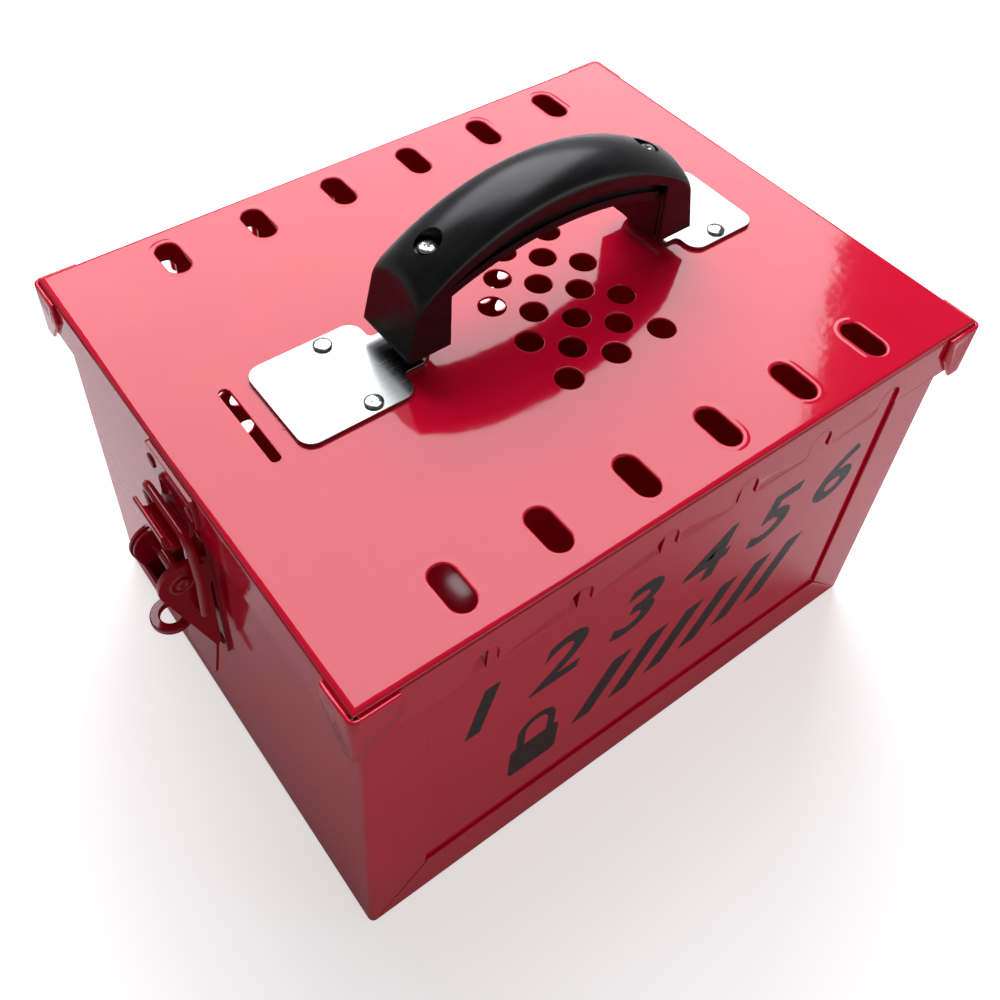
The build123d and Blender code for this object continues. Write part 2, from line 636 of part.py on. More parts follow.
def grip_shell():
    """Upper half of the grip: crown, sides and end faces, hollow below, with two screw bosses."""
    strap_top = strap_height(GRIP_SCREW_OFFSET - GRIP_BOSS_RADIUS) + STRAP_THICKNESS
    hollow = grip_envelope(GRIP_WALL)
    bores = []
    for side in (-1, 1):
        x = side * GRIP_SCREW_OFFSET
        hollow -= turned_z(GRIP_BOSS_RADIUS, x, 0, strap_top, GRIP_CROWN_RADIUS)
        bores.append(turned_z(GRIP_COUNTERBORE_RADIUS, x, 0, GRIP_SCREW_SEAT, GRIP_CROWN_RADIUS))
        hole_low = strap_top - HOLE_MARGIN
        bores.append(turned_z(SCREW_RADIUS + SCREW_HOLE_GAP, x, 0, hole_low, GRIP_SCREW_SEAT + HOLE_MARGIN))
    shell = grip_envelope(0) - bores - hollow
    shell -= under_arc(GRIP_EDGE_RADIUS, GRIP_EDGE_DROP, GRIP_INNER_HALF, GRIP_FOOT_HALF)
    return place_on_handle(shell)


def grip_liner():
    """Lower half of the grip: a lipped arch for the fingers, its two walls and the legs' inner faces."""
    half_length = GRIP_INNER_HALF - GRIP_SEAM
    lip_top_radius = GRIP_UNDERSIDE_RADIUS + LINER_LIP_HEIGHT
    lip_top = under_arc(lip_top_radius, GRIP_UNDERSIDE_DROP, half_length, LINER_LIP_HALF_WIDTH)
    below = under_arc(GRIP_UNDERSIDE_RADIUS, GRIP_UNDERSIDE_DROP, 2 * half_length, 2 * LINER_LIP_HALF_WIDTH)
    walls = under_arc(GRIP_EDGE_RADIUS - GRIP_SEAM, GRIP_EDGE_DROP, half_length, LINER_WALL_HALF_WIDTH)
    channel_half = LINER_WALL_HALF_WIDTH - GRIP_WALL
    walls -= block((-GRIP_FOOT_HALF, GRIP_FOOT_HALF), (-channel_half, channel_half), (0, GRIP_CROWN_RADIUS))
    liner = lip_top + walls - below
    strap_bottom = strap_height(GRIP_SCREW_OFFSET + GRIP_BOSS_RADIUS) - STRAP_THICKNESS
    leg_top = arc_height(lip_top_radius, GRIP_UNDERSIDE_DROP, GRIP_INNER_HALF)
    for side in (-1, 1):
        near = side * (half_length - GRIP_SEAM)
        inner_face = side * GRIP_INNER_HALF
        far = side * (GRIP_INNER_HALF + GRIP_WALL)
        leg_x = (min(inner_face, far), max(inner_face, far))
        bridge_x = (min(near, far), max(near, far))
        liner += block(leg_x, (-LINER_LIP_HALF_WIDTH, LINER_LIP_HALF_WIDTH), (GRIP_FOOT_HEIGHT, leg_top))
        bridge_z = (leg_top - GRIP_WALL, leg_top)
        liner += block(bridge_x, (-LINER_WALL_HALF_WIDTH, LINER_WALL_HALF_WIDTH), bridge_z)
        x = side * GRIP_SCREW_OFFSET
        liner += turned_z(GRIP_BOSS_RADIUS - GRIP_SEAM, x, 0, leg_top - GRIP_WALL, strap_bottom)
        liner -= turned_z(SCREW_RADIUS, x, 0, GRIP_SCREW_SEAT - SCREW_LENGTH, GRIP_SCREW_SEAT)
    return place_on_handle(liner)


def grip_screw(x):
    """Screw that clamps both halves of the grip on the strap."""
    seat = HEIGHT + GRIP_SCREW_SEAT
    head = turned_z(SCREW_HEAD_RADIUS, x, 0, seat, seat + SCREW_HEAD_HEIGHT)
    return head + turned_z(SCREW_RADIUS, x, 0, seat - SCREW_LENGTH, seat)


def handle_rivet(x, y):
    """Rivet through the strap's plate and the lid."""
    seat = HEIGHT + STRAP_THICKNESS
    under = HEIGHT - SHEET
    head = turned_z(RIVET_HEAD_RADIUS, x, y, seat, seat + RIVET_HEAD_HEIGHT)
    shank = turned_z(RIVET_SHANK_RADIUS, x, y, under, seat)
    tail = turned_z(RIVET_HEAD_RADIUS, x, y, under - RIVET_TAIL_HEIGHT, under)
    return head + shank + tail


def keeper():
    """Plate on the lid's skirt whose middle strip hangs below it and curls up into a hook."""
    face = -LID_X
    middle = face - KEEPER_THICKNESS / 2
    top = HEIGHT - KEEPER_TOP_DEPTH
    bottom = HEIGHT - KEEPER_BOTTOM_DEPTH
    centre_x = face - KEEPER_THICKNESS - HOOK_INNER_RADIUS
    centre_z = HEIGHT - HOOK_CENTRE_DEPTH
    bend = HOOK_INNER_RADIUS + KEEPER_THICKNESS / 2
    lip_z = HEIGHT - HOOK_LIP_DEPTH - KEEPER_THICKNESS / 2
    plate = Pos(0, (top + bottom) / 2) * RectangleRounded(2 * KEEPER_HALF_WIDTH, top - bottom, KEEPER_CORNER)
    keeper_plate = along_x(plate, face - KEEPER_THICKNESS, face)
    strip_top = (top + bottom) / 2
    path = Line((middle, strip_top), (middle, centre_z))
    path += ThreePointArc((middle, centre_z), (centre_x, centre_z - bend), (centre_x - bend, centre_z))
    path += Line((centre_x - bend, centre_z), (centre_x - bend, lip_z))
    strip = trace(path, KEEPER_THICKNESS) + Pos(centre_x - bend, lip_z) * Circle(KEEPER_THICKNESS / 2)
    hook = along_y(strip, -HOOK_HALF_WIDTH, HOOK_HALF_WIDTH)
    whole = keeper_plate + hook
    for side in (-1, 1):
        y = side * KEEPER_RIVET_Y
        z = HEIGHT - KEEPER_RIVET_DEPTH
        whole -= turned_x(SMALL_RIVET_RADIUS, y, z, face - 2 * KEEPER_THICKNESS, face + HOLE_MARGIN)
    return whole


def keeper_rivets():
    """Rivets through the keeper and the skirt."""
    seat = -LID_X - KEEPER_THICKNESS
    inside = -LID_X + SHEET
    z = HEIGHT - KEEPER_RIVET_DEPTH
    return [end_rivet(side * KEEPER_RIVET_Y, z, inside, seat, -1) for side in (-1, 1)]


def pivot_point():
    """X and Z of the lever's pivot."""
    return WALL_X - PIVOT_OUT, HEIGHT - PIVOT_DEPTH


def bail_pivot_point():
    """X and Z of the bail's pivot in the lever."""
    return WALL_X - BAIL_PIVOT_OUT, HEIGHT - BAIL_PIVOT_DEPTH


def base_rivet_heights():
    """Heights of the rivets near the base's top and bottom edges."""
    top = HEIGHT - BASE_TOP_DEPTH - BASE_RIVET_TOP_INSET
    bottom = HEIGHT - BASE_BOTTOM_DEPTH + BASE_RIVET_BOTTOM_INSET
    return top, bottom


def latch_base():
    """Plate riveted to the end wall, with two ears that carry the lever's pin."""
    half = LEVER_HALF_WIDTH - SHEET - CHEEK_GAP
    face = WALL_X - BASE_THICKNESS
    top = HEIGHT - BASE_TOP_DEPTH
    bottom = HEIGHT - BASE_BOTTOM_DEPTH
    outline = Pos(0, (top + bottom) / 2) * RectangleRounded(2 * half, top - bottom, BASE_CORNER)
    base = along_x(outline, face, WALL_X)
    x, z = pivot_point()
    foot_z = z + (BASE_EAR_RISE - BASE_EAR_FALL) / 2
    foot_span = BASE_EAR_RISE + BASE_EAR_FALL
    foot = Pos(face + BASE_THICKNESS / 2, foot_z) * Rectangle(BASE_THICKNESS / 2, foot_span)
    ear = make_hull(foot.edges() + (Pos(x, z) * Circle(BASE_EAR_RADIUS)).edges())
    for side in (-1, 1):
        inner = side * (half - BASE_THICKNESS)
        outer = side * half
        base += along_y(ear, min(inner, outer), max(inner, outer))
    base -= turned_y(LEVER_PIN_RADIUS, x, z, -LEVER_HALF_WIDTH, LEVER_HALF_WIDTH)
    for z in base_rivet_heights():
        for side in (-1, 1):
            y = side * BASE_RIVET_Y
            base -= turned_x(SMALL_RIVET_RADIUS, y, z, WALL_X - HOLE_MARGIN, WALL_X + HOLE_MARGIN)
    return base


def latch_base_rivets():
    """Rivets through the base and the end wall."""
    seat = WALL_X - BASE_THICKNESS
    inside = WALL_X + SHEET
    rivets = []
    for z in base_rivet_heights():
        for side in (-1, 1):
            rivets.append(end_rivet(side * BASE_RIVET_Y, z, inside, seat, -1))
    return rivets


def padlock_ring():
    """Flat ring welded to the base, for a padlock that holds the lever shut."""
    face = WALL_X - BASE_THICKNESS
    centre_x = WALL_X - RING_OUT
    outline = Pos(centre_x, 0) * Circle(RING_OUTER_RADIUS)
    outline += Pos((centre_x + face) / 2, 0) * Rectangle(face - centre_x, RING_NECK_WIDTH)
    outline -= Pos(centre_x, 0) * Circle(RING_HOLE_RADIUS)
    z = HEIGHT - RING_DEPTH
    ring = along_z(outline, z - RING_THICKNESS / 2, z + RING_THICKNESS / 2)
    return ring


def lever_slope():
    """Unit normal and direction of the lever's sloping outer edge, and its two tangent points."""
    x, z = pivot_point()
    foot_x = WALL_X - LEVER_FOOT_OUT
    foot_z = HEIGHT - LEVER_FOOT_DEPTH
    dx = foot_x - x
    dz = foot_z - z
    length = sqrt(dx ** 2 + dz ** 2)
    sine = (LEVER_EAR_RADIUS - LEVER_FOOT_RADIUS) / length
    cosine = sqrt(1 - sine ** 2)
    along = (dx / length, dz / length)
    side = (along[1], -along[0])
    normal = (cosine * side[0] + sine * along[0], cosine * side[1] + sine * along[1])
    direction = (-normal[1], normal[0])
    return (x, z), (foot_x, foot_z), normal, direction


def on_web(distance_out, reach):
    """Point at a distance from the pivot across the web's line and a reach along it."""
    pivot, _, normal, direction = lever_slope()
    return (pivot[0] + normal[0] * distance_out + direction[0] * reach,
            pivot[1] + normal[1] * distance_out + direction[1] * reach)


def ring_slot_reach():
    """Where the web's slot begins and ends, so that it swings clear of the ring about the pivot."""
    near = RING_DEPTH - PIVOT_DEPTH - RING_THICKNESS / 2
    far = sqrt((near + RING_THICKNESS) ** 2 + (RING_OUT + RING_OUTER_RADIUS - PIVOT_OUT) ** 2)
    low = sqrt(near ** 2 - LEVER_EAR_RADIUS ** 2) - RING_SLOT_GAP
    high = sqrt(far ** 2 - (LEVER_EAR_RADIUS - SHEET) ** 2) + RING_SLOT_GAP
    return low, high


def latch_lever():
    """Lever folded from one sheet: two cheeks, a web along their outer edges and a flared tail."""
    pivot, foot, normal, direction = lever_slope()
    ear = Pos(*pivot) * Circle(LEVER_EAR_RADIUS)
    toe = Pos(*foot) * Circle(LEVER_FOOT_RADIUS)
    cheek = make_hull(ear.edges() + toe.edges())
    inner = LEVER_HALF_WIDTH - SHEET
    lever = along_y(cheek, -LEVER_HALF_WIDTH, -inner) + along_y(cheek, inner, LEVER_HALF_WIDTH)
    middle = LEVER_EAR_RADIUS - SHEET / 2
    span = sqrt((foot[0] - pivot[0]) ** 2 + (foot[1] - pivot[1]) ** 2)
    tail_end = (WALL_X - TAIL_OUT, HEIGHT - TAIL_DEPTH)
    path = FilletPolyline(on_web(middle, WEB_TOP_REACH), on_web(middle, span), tail_end, radius=TAIL_BEND)
    web = along_y(trace(path, SHEET), -LEVER_HALF_WIDTH, LEVER_HALF_WIDTH)
    top = HEIGHT - PIVOT_DEPTH
    bottom = HEIGHT - TAIL_DEPTH - SHEET
    face = Pos(0, (top + bottom) / 2) * Rectangle(2 * LEVER_HALF_WIDTH, top - bottom)
    face = fillet(face.vertices().group_by(Axis.Y)[0], TAIL_CORNER)
    lever += web & along_x(face, WALL_X - RING_OUT - RING_OUTER_RADIUS, WALL_X)
    low, high = ring_slot_reach()
    slot_centre = on_web(middle, (low + high) / 2)
    turn = degrees(atan2(direction[1], direction[0]))
    window = Pos(*slot_centre) * Rot(0, 0, turn) * Rectangle(high - low, 4 * SHEET)
    slot_half_width = RING_OUTER_RADIUS + 2 * RING_SLOT_GAP
    lever -= along_y(window, -slot_half_width, slot_half_width)
    x, z = pivot
    lever -= turned_y(LEVER_PIN_RADIUS + RUNNING_GAP, x, z, -2 * LEVER_HALF_WIDTH, 2 * LEVER_HALF_WIDTH)
    x, z = bail_pivot_point()
    lever -= turned_y(BAIL_RADIUS + RUNNING_GAP, x, z, -2 * LEVER_HALF_WIDTH, 2 * LEVER_HALF_WIDTH)
    return lever


def lever_pivot_pin():
    """Pin fast in the base's ears, on which the lever turns, with a low head at each end."""
    x, z = pivot_point()
    seat = LEVER_HALF_WIDTH + RUNNING_GAP
    pin = turned_y(LEVER_PIN_RADIUS, x, z, -seat, seat)
    for side in (-1, 1):
        end = side * (seat + LEVER_PIN_HEAD_HEIGHT)
        pin += turned_y(LEVER_PIN_HEAD_RADIUS, x, z, min(side * seat, end), max(side * seat, end))
    return pin


def latch_bail():
    """Bent wire from one cheek up round the hook and down to the other cheek."""
    foot_x, foot_z = bail_pivot_point()
    bow = (WALL_X - BAIL_BOW_OUT, BAIL_HALF_WIDTH, HEIGHT - BAIL_BOW_DEPTH)
    bar_x = WALL_X - BAIL_BAR_OUT
    bar_z = HEIGHT - BAIL_BAR_DEPTH
    lower = FilletPolyline((foot_x, BAIL_END_Y, foot_z), (foot_x, BAIL_HALF_WIDTH, foot_z), bow,
                           radius=BAIL_FOOT_BEND)
    upper = FilletPolyline(bow, (bar_x, BAIL_HALF_WIDTH, bar_z), (bar_x, 0, bar_z), radius=BAIL_CORNER)
    half = sweep(Plane(origin=lower @ 0, z_dir=lower % 0) * Circle(BAIL_RADIUS), path=lower)
    half += sweep(Plane(origin=upper @ 0, z_dir=upper % 0) * Circle(BAIL_RADIUS), path=upper)
    half += Pos(*bow) * Sphere(BAIL_RADIUS)
    return half + mirror(half, Plane.XZ)


def save(name, shape):
    """Write one node."""
    solids = shape if isinstance(shape, list) else [shape]
    pieces = [solid for piece in solids for solid in piece.solids()]
    export_step(Compound(children=pieces) if len(pieces) > 1 else pieces[0], f"parts/{name}.step")


def main():
    """Build and write every node."""
    os.makedirs("parts", exist_ok=True)
    save("lid_panel", lid_panel())
    save("lid_corner_clips", lid_corner_clips())
    save("body_wrapper", body_wrapper())
    save("front_panel", wall_panel(False))
    save("back_panel", mirror(wall_panel(True), Plane.XZ))
    save("hinge_lid_leaf", hinge_lid_leaf())
    save("hinge_body_leaf", hinge_body_leaf())
    save("hinge_pin", hinge_pin())
    save("hinge_lid_rivets", hinge_lid_rivets())
    save("hinge_body_rivets", hinge_body_rivets())
    save("handle_strap", handle_strap())
    save("grip_shell", grip_shell())
    save("grip_liner", grip_liner())
    save("grip_screws", [grip_screw(x) for x in screw_positions()])
    for name, x in zip(("handle_rivets_left", "handle_rivets_right"), handle_rivet_x()):
        save(name, [handle_rivet(x, side * HANDLE_RIVET_Y) for side in (-1, 1)])
    save("keeper", keeper())
    save("keeper_rivets", keeper_rivets())
    save("latch_base", latch_base())
    save("latch_base_rivets", latch_base_rivets())
    save("padlock_ring", padlock_ring())
    save("latch_lever", latch_lever())
    save("lever_pivot_pin", lever_pivot_pin())
    save("latch_bail", latch_bail())


main()
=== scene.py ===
import json
from math import asin, cos, pi, radians, sin, sqrt

import bmesh
import bpy
from mathutils import Matrix, Vector


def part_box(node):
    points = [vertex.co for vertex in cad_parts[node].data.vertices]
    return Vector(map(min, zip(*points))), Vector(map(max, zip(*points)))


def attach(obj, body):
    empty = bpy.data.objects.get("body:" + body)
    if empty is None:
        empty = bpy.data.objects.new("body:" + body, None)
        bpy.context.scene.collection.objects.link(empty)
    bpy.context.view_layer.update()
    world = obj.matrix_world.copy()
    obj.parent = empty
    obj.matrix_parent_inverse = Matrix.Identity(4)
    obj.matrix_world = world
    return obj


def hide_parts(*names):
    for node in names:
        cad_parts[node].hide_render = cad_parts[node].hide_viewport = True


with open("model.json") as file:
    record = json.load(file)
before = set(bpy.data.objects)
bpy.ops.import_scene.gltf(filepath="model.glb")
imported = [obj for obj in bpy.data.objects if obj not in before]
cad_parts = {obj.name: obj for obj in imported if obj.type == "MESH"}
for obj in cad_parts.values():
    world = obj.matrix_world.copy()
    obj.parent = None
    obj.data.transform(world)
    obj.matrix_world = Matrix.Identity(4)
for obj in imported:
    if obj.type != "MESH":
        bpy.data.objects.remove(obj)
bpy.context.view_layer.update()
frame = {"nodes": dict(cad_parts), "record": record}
BODY_OF = {name: body for body, names in frame["record"]["behaviour"]["bodies"].items() for name in names}

# Lengths are in metres, in the part's own frame, unless a name says otherwise.
MM = 0.001
UP = Vector((0, 0, 1))
SIDES = (-1, 1)

# Camera at the photograph's viewing angle
CAMERA_PLACE = (-0.19909, -0.22772, 0.44682)
CAMERA_RIGHT = Vector((0.80493, -0.59249, 0.03219))
CAMERA_UP = Vector((0.41436, 0.60011, 0.68423))
CAMERA_LENS = 41.643
CAMERA_SENSOR = 36
CAMERA_SHIFT = (0.0391, -0.1169)
CAMERA_CLIP = (0.01, 20)

# Studio: strengths of 1 are white
FLOOR_HALF = 4.0
FLOOR_COLOUR = (0.8, 0.8, 0.8)
FLOOR_LIFT_SEEN = 0.6
FLOOR_LIFT_REFLECTED = 0.02
WORLD_SEEN = 1.0
WORLD_LIGHT = 0.16
HORIZON_REFLECTED = 0.5
ZENITH_REFLECTED = 0.12
ZENITH_RISE = 0.5
SOFTBOX_PLACE = (0.64, 0.98, 1.2)
SOFTBOX_SIZE = (1.8, 1.35)
SOFTBOX_TURN = radians(34)
SOFTBOX_WATTS = 35.0
SOFTBOX_COLOUR = (1.0, 1.0, 1.06)
FILL_PLACE = (0.45, -1.0, 0.3)
FILL_AIM = (0, 0, 0.1)
FILL_SIZE = (1.0, 0.4)
FILL_WATTS = 1.5

# Colours, deeper and brighter
PAINT = (0.75, 0.003, 0.033, 1), (0.80, 0.004, 0.038, 1)
# The latch's red is the lid's and body's paint made darker: painted shade of the latch on the box's shaded
# left end.
LATCH_PAINT_WITH_PAINTED_SHADE = (0.40, 0.002, 0.017, 1), (0.48, 0.0025, 0.021, 1)
STEEL_TONES = (0.30, 0.31, 0.305, 1), (0.38, 0.39, 0.38, 1)
ZINC_TONES = (0.40, 0.42, 0.43, 1), (0.62, 0.63, 0.63, 1)
PLASTIC_TONES = (0.0055, 0.0055, 0.006, 1), (0.009, 0.0095, 0.011, 1)
INK_TONES = (0.009, 0.008, 0.008, 1), (0.022, 0.014, 0.014, 1)

# Rounding of hard edges: angles in radians
HARD_ANGLE = 0.6
FLAT_ANGLE = 0.02
SHORT_EDGE = 0.5 * MM
SAME_PLACE = 1e-6

# Lid
LID_TOP = 0.170
LID_HALF_X = 0.131
LID_HALF_Y = 0.103
SHEET = 0.0012
SKIRT_BOTTOM = 0.149
SKIRT_EDGE_END = 0.1165
SLOTS_PER_ROW = 6
SLOT_PITCH = 0.03525
SLOTS_CENTRE_X = 0.0015
SLOT_XS = [SLOTS_CENTRE_X + SLOT_PITCH * (index - (SLOTS_PER_ROW - 1) / 2) for index in range(SLOTS_PER_ROW)]
SLOT_Y = 0.0858
SLOT_LENGTH = 0.018
SLOT_WIDTH = 0.009
SLOT_ARC_STEPS = 11
KEY_SLOT_X = -0.1034
KEY_SLOT_LENGTH = 0.0365
KEY_SLOT_WIDTH = 0.0038
NOTCH_RADIUS = 0.00475
NOTCH_TOP = 0.160
NOTCH_STEPS = 12
NOTCH_FLARE = 0.002
NOTCH_FLARE_STEPS = 5

# Raised rims: (distance away from the opening, height) in millimetres, without the foot in the sheet
RIM_POINTS = [(2.6, -0.012), (2.2, 0.012), (1.8, 0.045), (1.4, 0.075), (1.05, 0.085), (0.7, 0.065),
              (0.4, 0.0), (0.18, -0.13), (0.02, -0.36), (-0.03, -0.6)]
RIM_WALL = -0.03 * MM
RIM_FOOT = -0.9 * MM
KEY_RIM_SCALE = 0.6
SKIRT_EDGE_POINTS = [(0, -0.6), (-0.02, 0.0), (0.1, 0.07), (0.35, 0.11), (0.65, 0.1), (1.1, -0.02),
                     (1.1, -0.6)]

# Spot welds of the corner clips: dish as (radius, depth) pairs
CLIP_THICKNESS = 1.5 * MM
WELD_BELOW_TOP = 6.5 * MM
WELD_FROM_CORNER = 11 * MM
WELD_DISH = [(0, -0.16 * MM), (1.3 * MM, -0.14 * MM), (1.9 * MM, 0), (2.1 * MM, 0.4 * MM), (0, 0.4 * MM)]

# Grip: arcs of its crest, of its section and of its lower edge, and its legs
HANDLE_X = 0.0115
CROWN_RADIUS = 0.0965
CROWN_DROP = 0.0415
SECTION_RADIUS = 0.0225
EDGE_RADIUS = 0.097
EDGE_DROP = 0.052
FOOT_HALF = 0.0631
FOOT_HEIGHT = 0.0085
FOOT_HALF_WIDTH = 0.0139
SHOULDER_HALF = 0.0586
SHOULDER_HEIGHT = 0.0312
SHOULDER_ROUNDING = 0.0034
CREST_HEIGHT = 0.051
CREST_HALF_WIDTH = 0.0130
INNER_HALF = 0.0465
LEG_STEPS = 8
BEND_STEPS = 8
ARC_STEPS = 56
STATIONS = 2 * (LEG_STEPS + BEND_STEPS) + ARC_STEPS + 1
SOLVER_ROUNDS = 12
SIDE_SHARES = (0, 0.12, 0.3, 0.5, 0.7, 0.88)
ROLL_STEPS = 7
CROWN_STEPS = 7
GRIP_WALL = 0.0020
GRIP_RIM_ROUNDING = 0.35 * MM

# Rounding between the grip's side and its crown, in millimetres: at its feet, and what its arch adds
SIDE_ROLL = 1.2
SIDE_ROLL_GAIN = 1.0
TOP_ROLL = 1.4
TOP_ROLL_GAIN = 1.4

# Grip screws in their counterbores
SCREW_SEAT = 0.0394
SCREW_OFFSET = 0.0465
SCREW_RADIUS = 1.75 * MM
SCREW_HEAD_RADIUS = 3.5 * MM
SCREW_HEAD_HEIGHT = 2.1 * MM
SCREW_LENGTH = 17 * MM
SCREW_POINT = [(0, 0), (1.3 * MM, 0.6 * MM), (1.75 * MM, 1.4 * MM)]
CROSS_SIZE = (4.6 * MM, 1.1 * MM, 3.4 * MM)
CROSS_RISE = 2.2 * MM
CROSS_TAPER = 0.3
CROSS_TURNS = {-1: radians(-20), 1: radians(60)}
COUNTERBORE_RADIUS = 0.0046
COUNTERBORE_BELOW_SEAT = 6 * MM
WELL_CLEARANCE = 0.05 * MM
WELL_WALL = 0.9 * MM
WELL_FLOOR = 1.2 * MM
WELL_BORE = 0.4 * MM
WELL_BELOW_CROWN = 0.7 * MM

# Handle strap, its rivets, and the small rivets of the latch and the hinge
STRAP_THICKNESS = 0.0015
RIVET_PLACES = {"handle_rivets_left": -0.0666, "handle_rivets_right": 0.0874}
RIVET_Y = 0.0156
RIVET_SHANK = 2.0 * MM
RIVET_TAIL = 3.2 * MM
SMALL_SHANK = 1.6 * MM
SMALL_TAIL = 2.6 * MM
TAIL_HEIGHT = 1.0 * MM
TAIL_CHAMFER = 0.4 * MM
DOME_RIM = 0.45
DOME_SHARES = (0.93, 0.82, 0.68, 0.52)
DOME_FLAT = 0.25
DIMPLE_TOP = 0.99
DIMPLE_POINTS = ((1.15, 0), (0.85, 0.5), (0.5, 1), (0, 1))

# Latch
PIVOT = Vector((-0.1388, 0, 0.125))
CHEEK_OUTER_Y = 0.011
PIN_RADIUS = 2.0 * MM
PIN_CLEARANCE = 0.05 * MM
CHEEK_RING_POINTS = [(3.4, -0.2), (3.4, 0.12), (3.7, 0.3), (4.2, 0.36), (4.7, 0.3), (5.1, 0.1), (5.2, -0.2),
                     (3.4, -0.2)]

# Front print
INK_THICKNESS = 0.04 * MM
NUMBER_SIZE = 36 * MM
NUMBER_WIDENING = 1.2
NUMBER_LEAN = 0.22
NUMBER_BOLDNESS = 0.75 * MM
NUMBER_PITCH = 33.5 * MM
NUMBERS_CENTRE_X = -1.5 * MM
NUMBER_LINE = LID_TOP - 71 * MM
STRIPES = 6
STRIPES_START = -38 * MM
STRIPE_WIDTH = 9 * MM
STRIPE_PITCH = 18 * MM
STRIPE_LEAN = 16 * MM
STRIPE_TOP = LID_TOP - 88 * MM
STRIPE_BOTTOM = LID_TOP - 118 * MM
PADLOCK_LEFT = -67 * MM
PADLOCK_RIGHT = -45 * MM
PADLOCK_BOTTOM = STRIPE_BOTTOM - 8 * MM
PADLOCK_TOP = STRIPE_BOTTOM + 12 * MM
PADLOCK_ROUNDING = 2.5 * MM
PADLOCK_CORNER_STEPS = 6
SHACKLE_OUTER = 8.5 * MM
SHACKLE_INNER = 5.0 * MM
SHACKLE_RISE = 9 * MM
SHACKLE_STEPS = 16


def add_camera():
    """Camera that sees the part as the photograph does."""
    data = bpy.data.cameras.new("photo_camera")
    data.lens = CAMERA_LENS
    data.sensor_width = CAMERA_SENSOR
    data.shift_x, data.shift_y = CAMERA_SHIFT
    data.clip_start, data.clip_end = CAMERA_CLIP
    camera = bpy.data.objects.new("photo_camera", data)
    bpy.context.scene.collection.objects.link(camera)
    back = CAMERA_RIGHT.cross(CAMERA_UP).normalized()
    right = CAMERA_UP.cross(back).normalized()
    turn = Matrix((right, CAMERA_UP.normalized(), back)).transposed()
    camera.matrix_world = Matrix.Translation(CAMERA_PLACE) @ turn.to_4x4()
    bpy.context.scene.camera = camera


class Nodes:
    """Short way to build a node tree."""

    def __init__(self, owner):
        owner.use_nodes = True
        self.tree = owner.node_tree

    def add(self, kind, **inputs):
        """New node. An input is a number, a colour or another node's output."""
        node = self.tree.nodes.new("ShaderNode" + kind)
        for name, value in inputs.items():
            self.feed(node.inputs[name.replace("_", " ")], value)
        return node

    def feed(self, socket, value):
        """Link an output to a socket, or set the socket."""
        if isinstance(value, bpy.types.NodeSocket):
            self.tree.links.new(value, socket)
        else:
            socket.default_value = value

    def maths(self, operation, first, second):
        """Output of one maths step."""
        node = self.tree.nodes.new("ShaderNodeMath")
        node.operation = operation
        self.feed(node.inputs[0], first)
        self.feed(node.inputs[1], second)
        return node.outputs[0]

    def place(self, stretch=(1, 1, 1)):
        """Position on the object, stretched."""
        position = self.add("TexCoord").outputs["Object"]
        return self.add("Mapping", Vector=position, Scale=stretch).outputs[0]

    def noise(self, scale, detail=2.0, stretch=(1, 1, 1), roughness=0.5):
        """Noise from about 0.25 to 0.75, with its scale in cells per metre."""
        vector = self.place(stretch)
        return self.add("TexNoise", Vector=vector, Scale=scale, Detail=detail, Roughness=roughness).outputs[0]

    def span(self, value, start, end, low, high):
        """Number that goes from low to high as the value goes from start to end."""
        node = self.add("MapRange", Value=value, From_Min=start, From_Max=end, To_Min=low, To_Max=high)
        return node.outputs[0]

    def between(self, share, low, high):
        """Number that goes from low to high over the range of a noise."""
        return self.span(share, 0.3, 0.7, low, high)

    def tones(self, share, first, second):
        """Colour that goes from the first to the second over the range of a noise."""
        share = self.between(share, 0.0, 1.0)
        node = self.tree.nodes.new("ShaderNodeMix")
        node.data_type = "RGBA"
        self.feed(node.inputs["Factor"], share)
        self.feed(node.inputs[6], first)
        self.feed(node.inputs[7], second)
        return node.outputs[2]

    def bump(self, height, distance, below=None):
        """Normal raised by a height, in metres per unit, over the normal below it."""
        node = self.add("Bump", Height=height, Distance=distance, Strength=1.0)
        if below is not None:
            self.feed(node.inputs["Normal"], below)
        return node.outputs[0]


def new_material(name, **values):
    """Material with its tree and its shader's sockets, of which some get a value."""
    material = bpy.data.materials.new(name)
    nodes = Nodes(material)
    shader = nodes.tree.nodes["Principled BSDF"].inputs
    for socket, value in values.items():
        shader[socket.replace("_", " ")].default_value = value
    return material, nodes, shader


def powder_coat(name, tones, peel, wave):
    """Glossy coloured paint baked on steel, with orange peel, slow waviness and a few pits."""
    material, nodes, shader = new_material(name, Coat_Weight=1.0, Coat_Roughness=0.075, Coat_IOR=1.5,
                                           Specular_IOR_Level=0.0)
    nodes.feed(shader["Base Color"], nodes.tones(nodes.noise(30, 3), *tones))
    nodes.feed(shader["Roughness"], nodes.between(nodes.noise(160, 3), 0.3, 0.42))
    waves = nodes.bump(nodes.noise(75), wave)
    skin = nodes.bump(nodes.noise(520), peel, waves)
    cells = nodes.add("TexVoronoi", Vector=nodes.place(), Scale=42)
    pits = nodes.span(cells.outputs["Distance"], 0.0, 0.03, -1.0, 0.0)
    skin = nodes.bump(pits, 0.2 * MM, skin)
    nodes.feed(shader["Normal"], skin)
    nodes.feed(shader["Coat Normal"], skin)
    return material


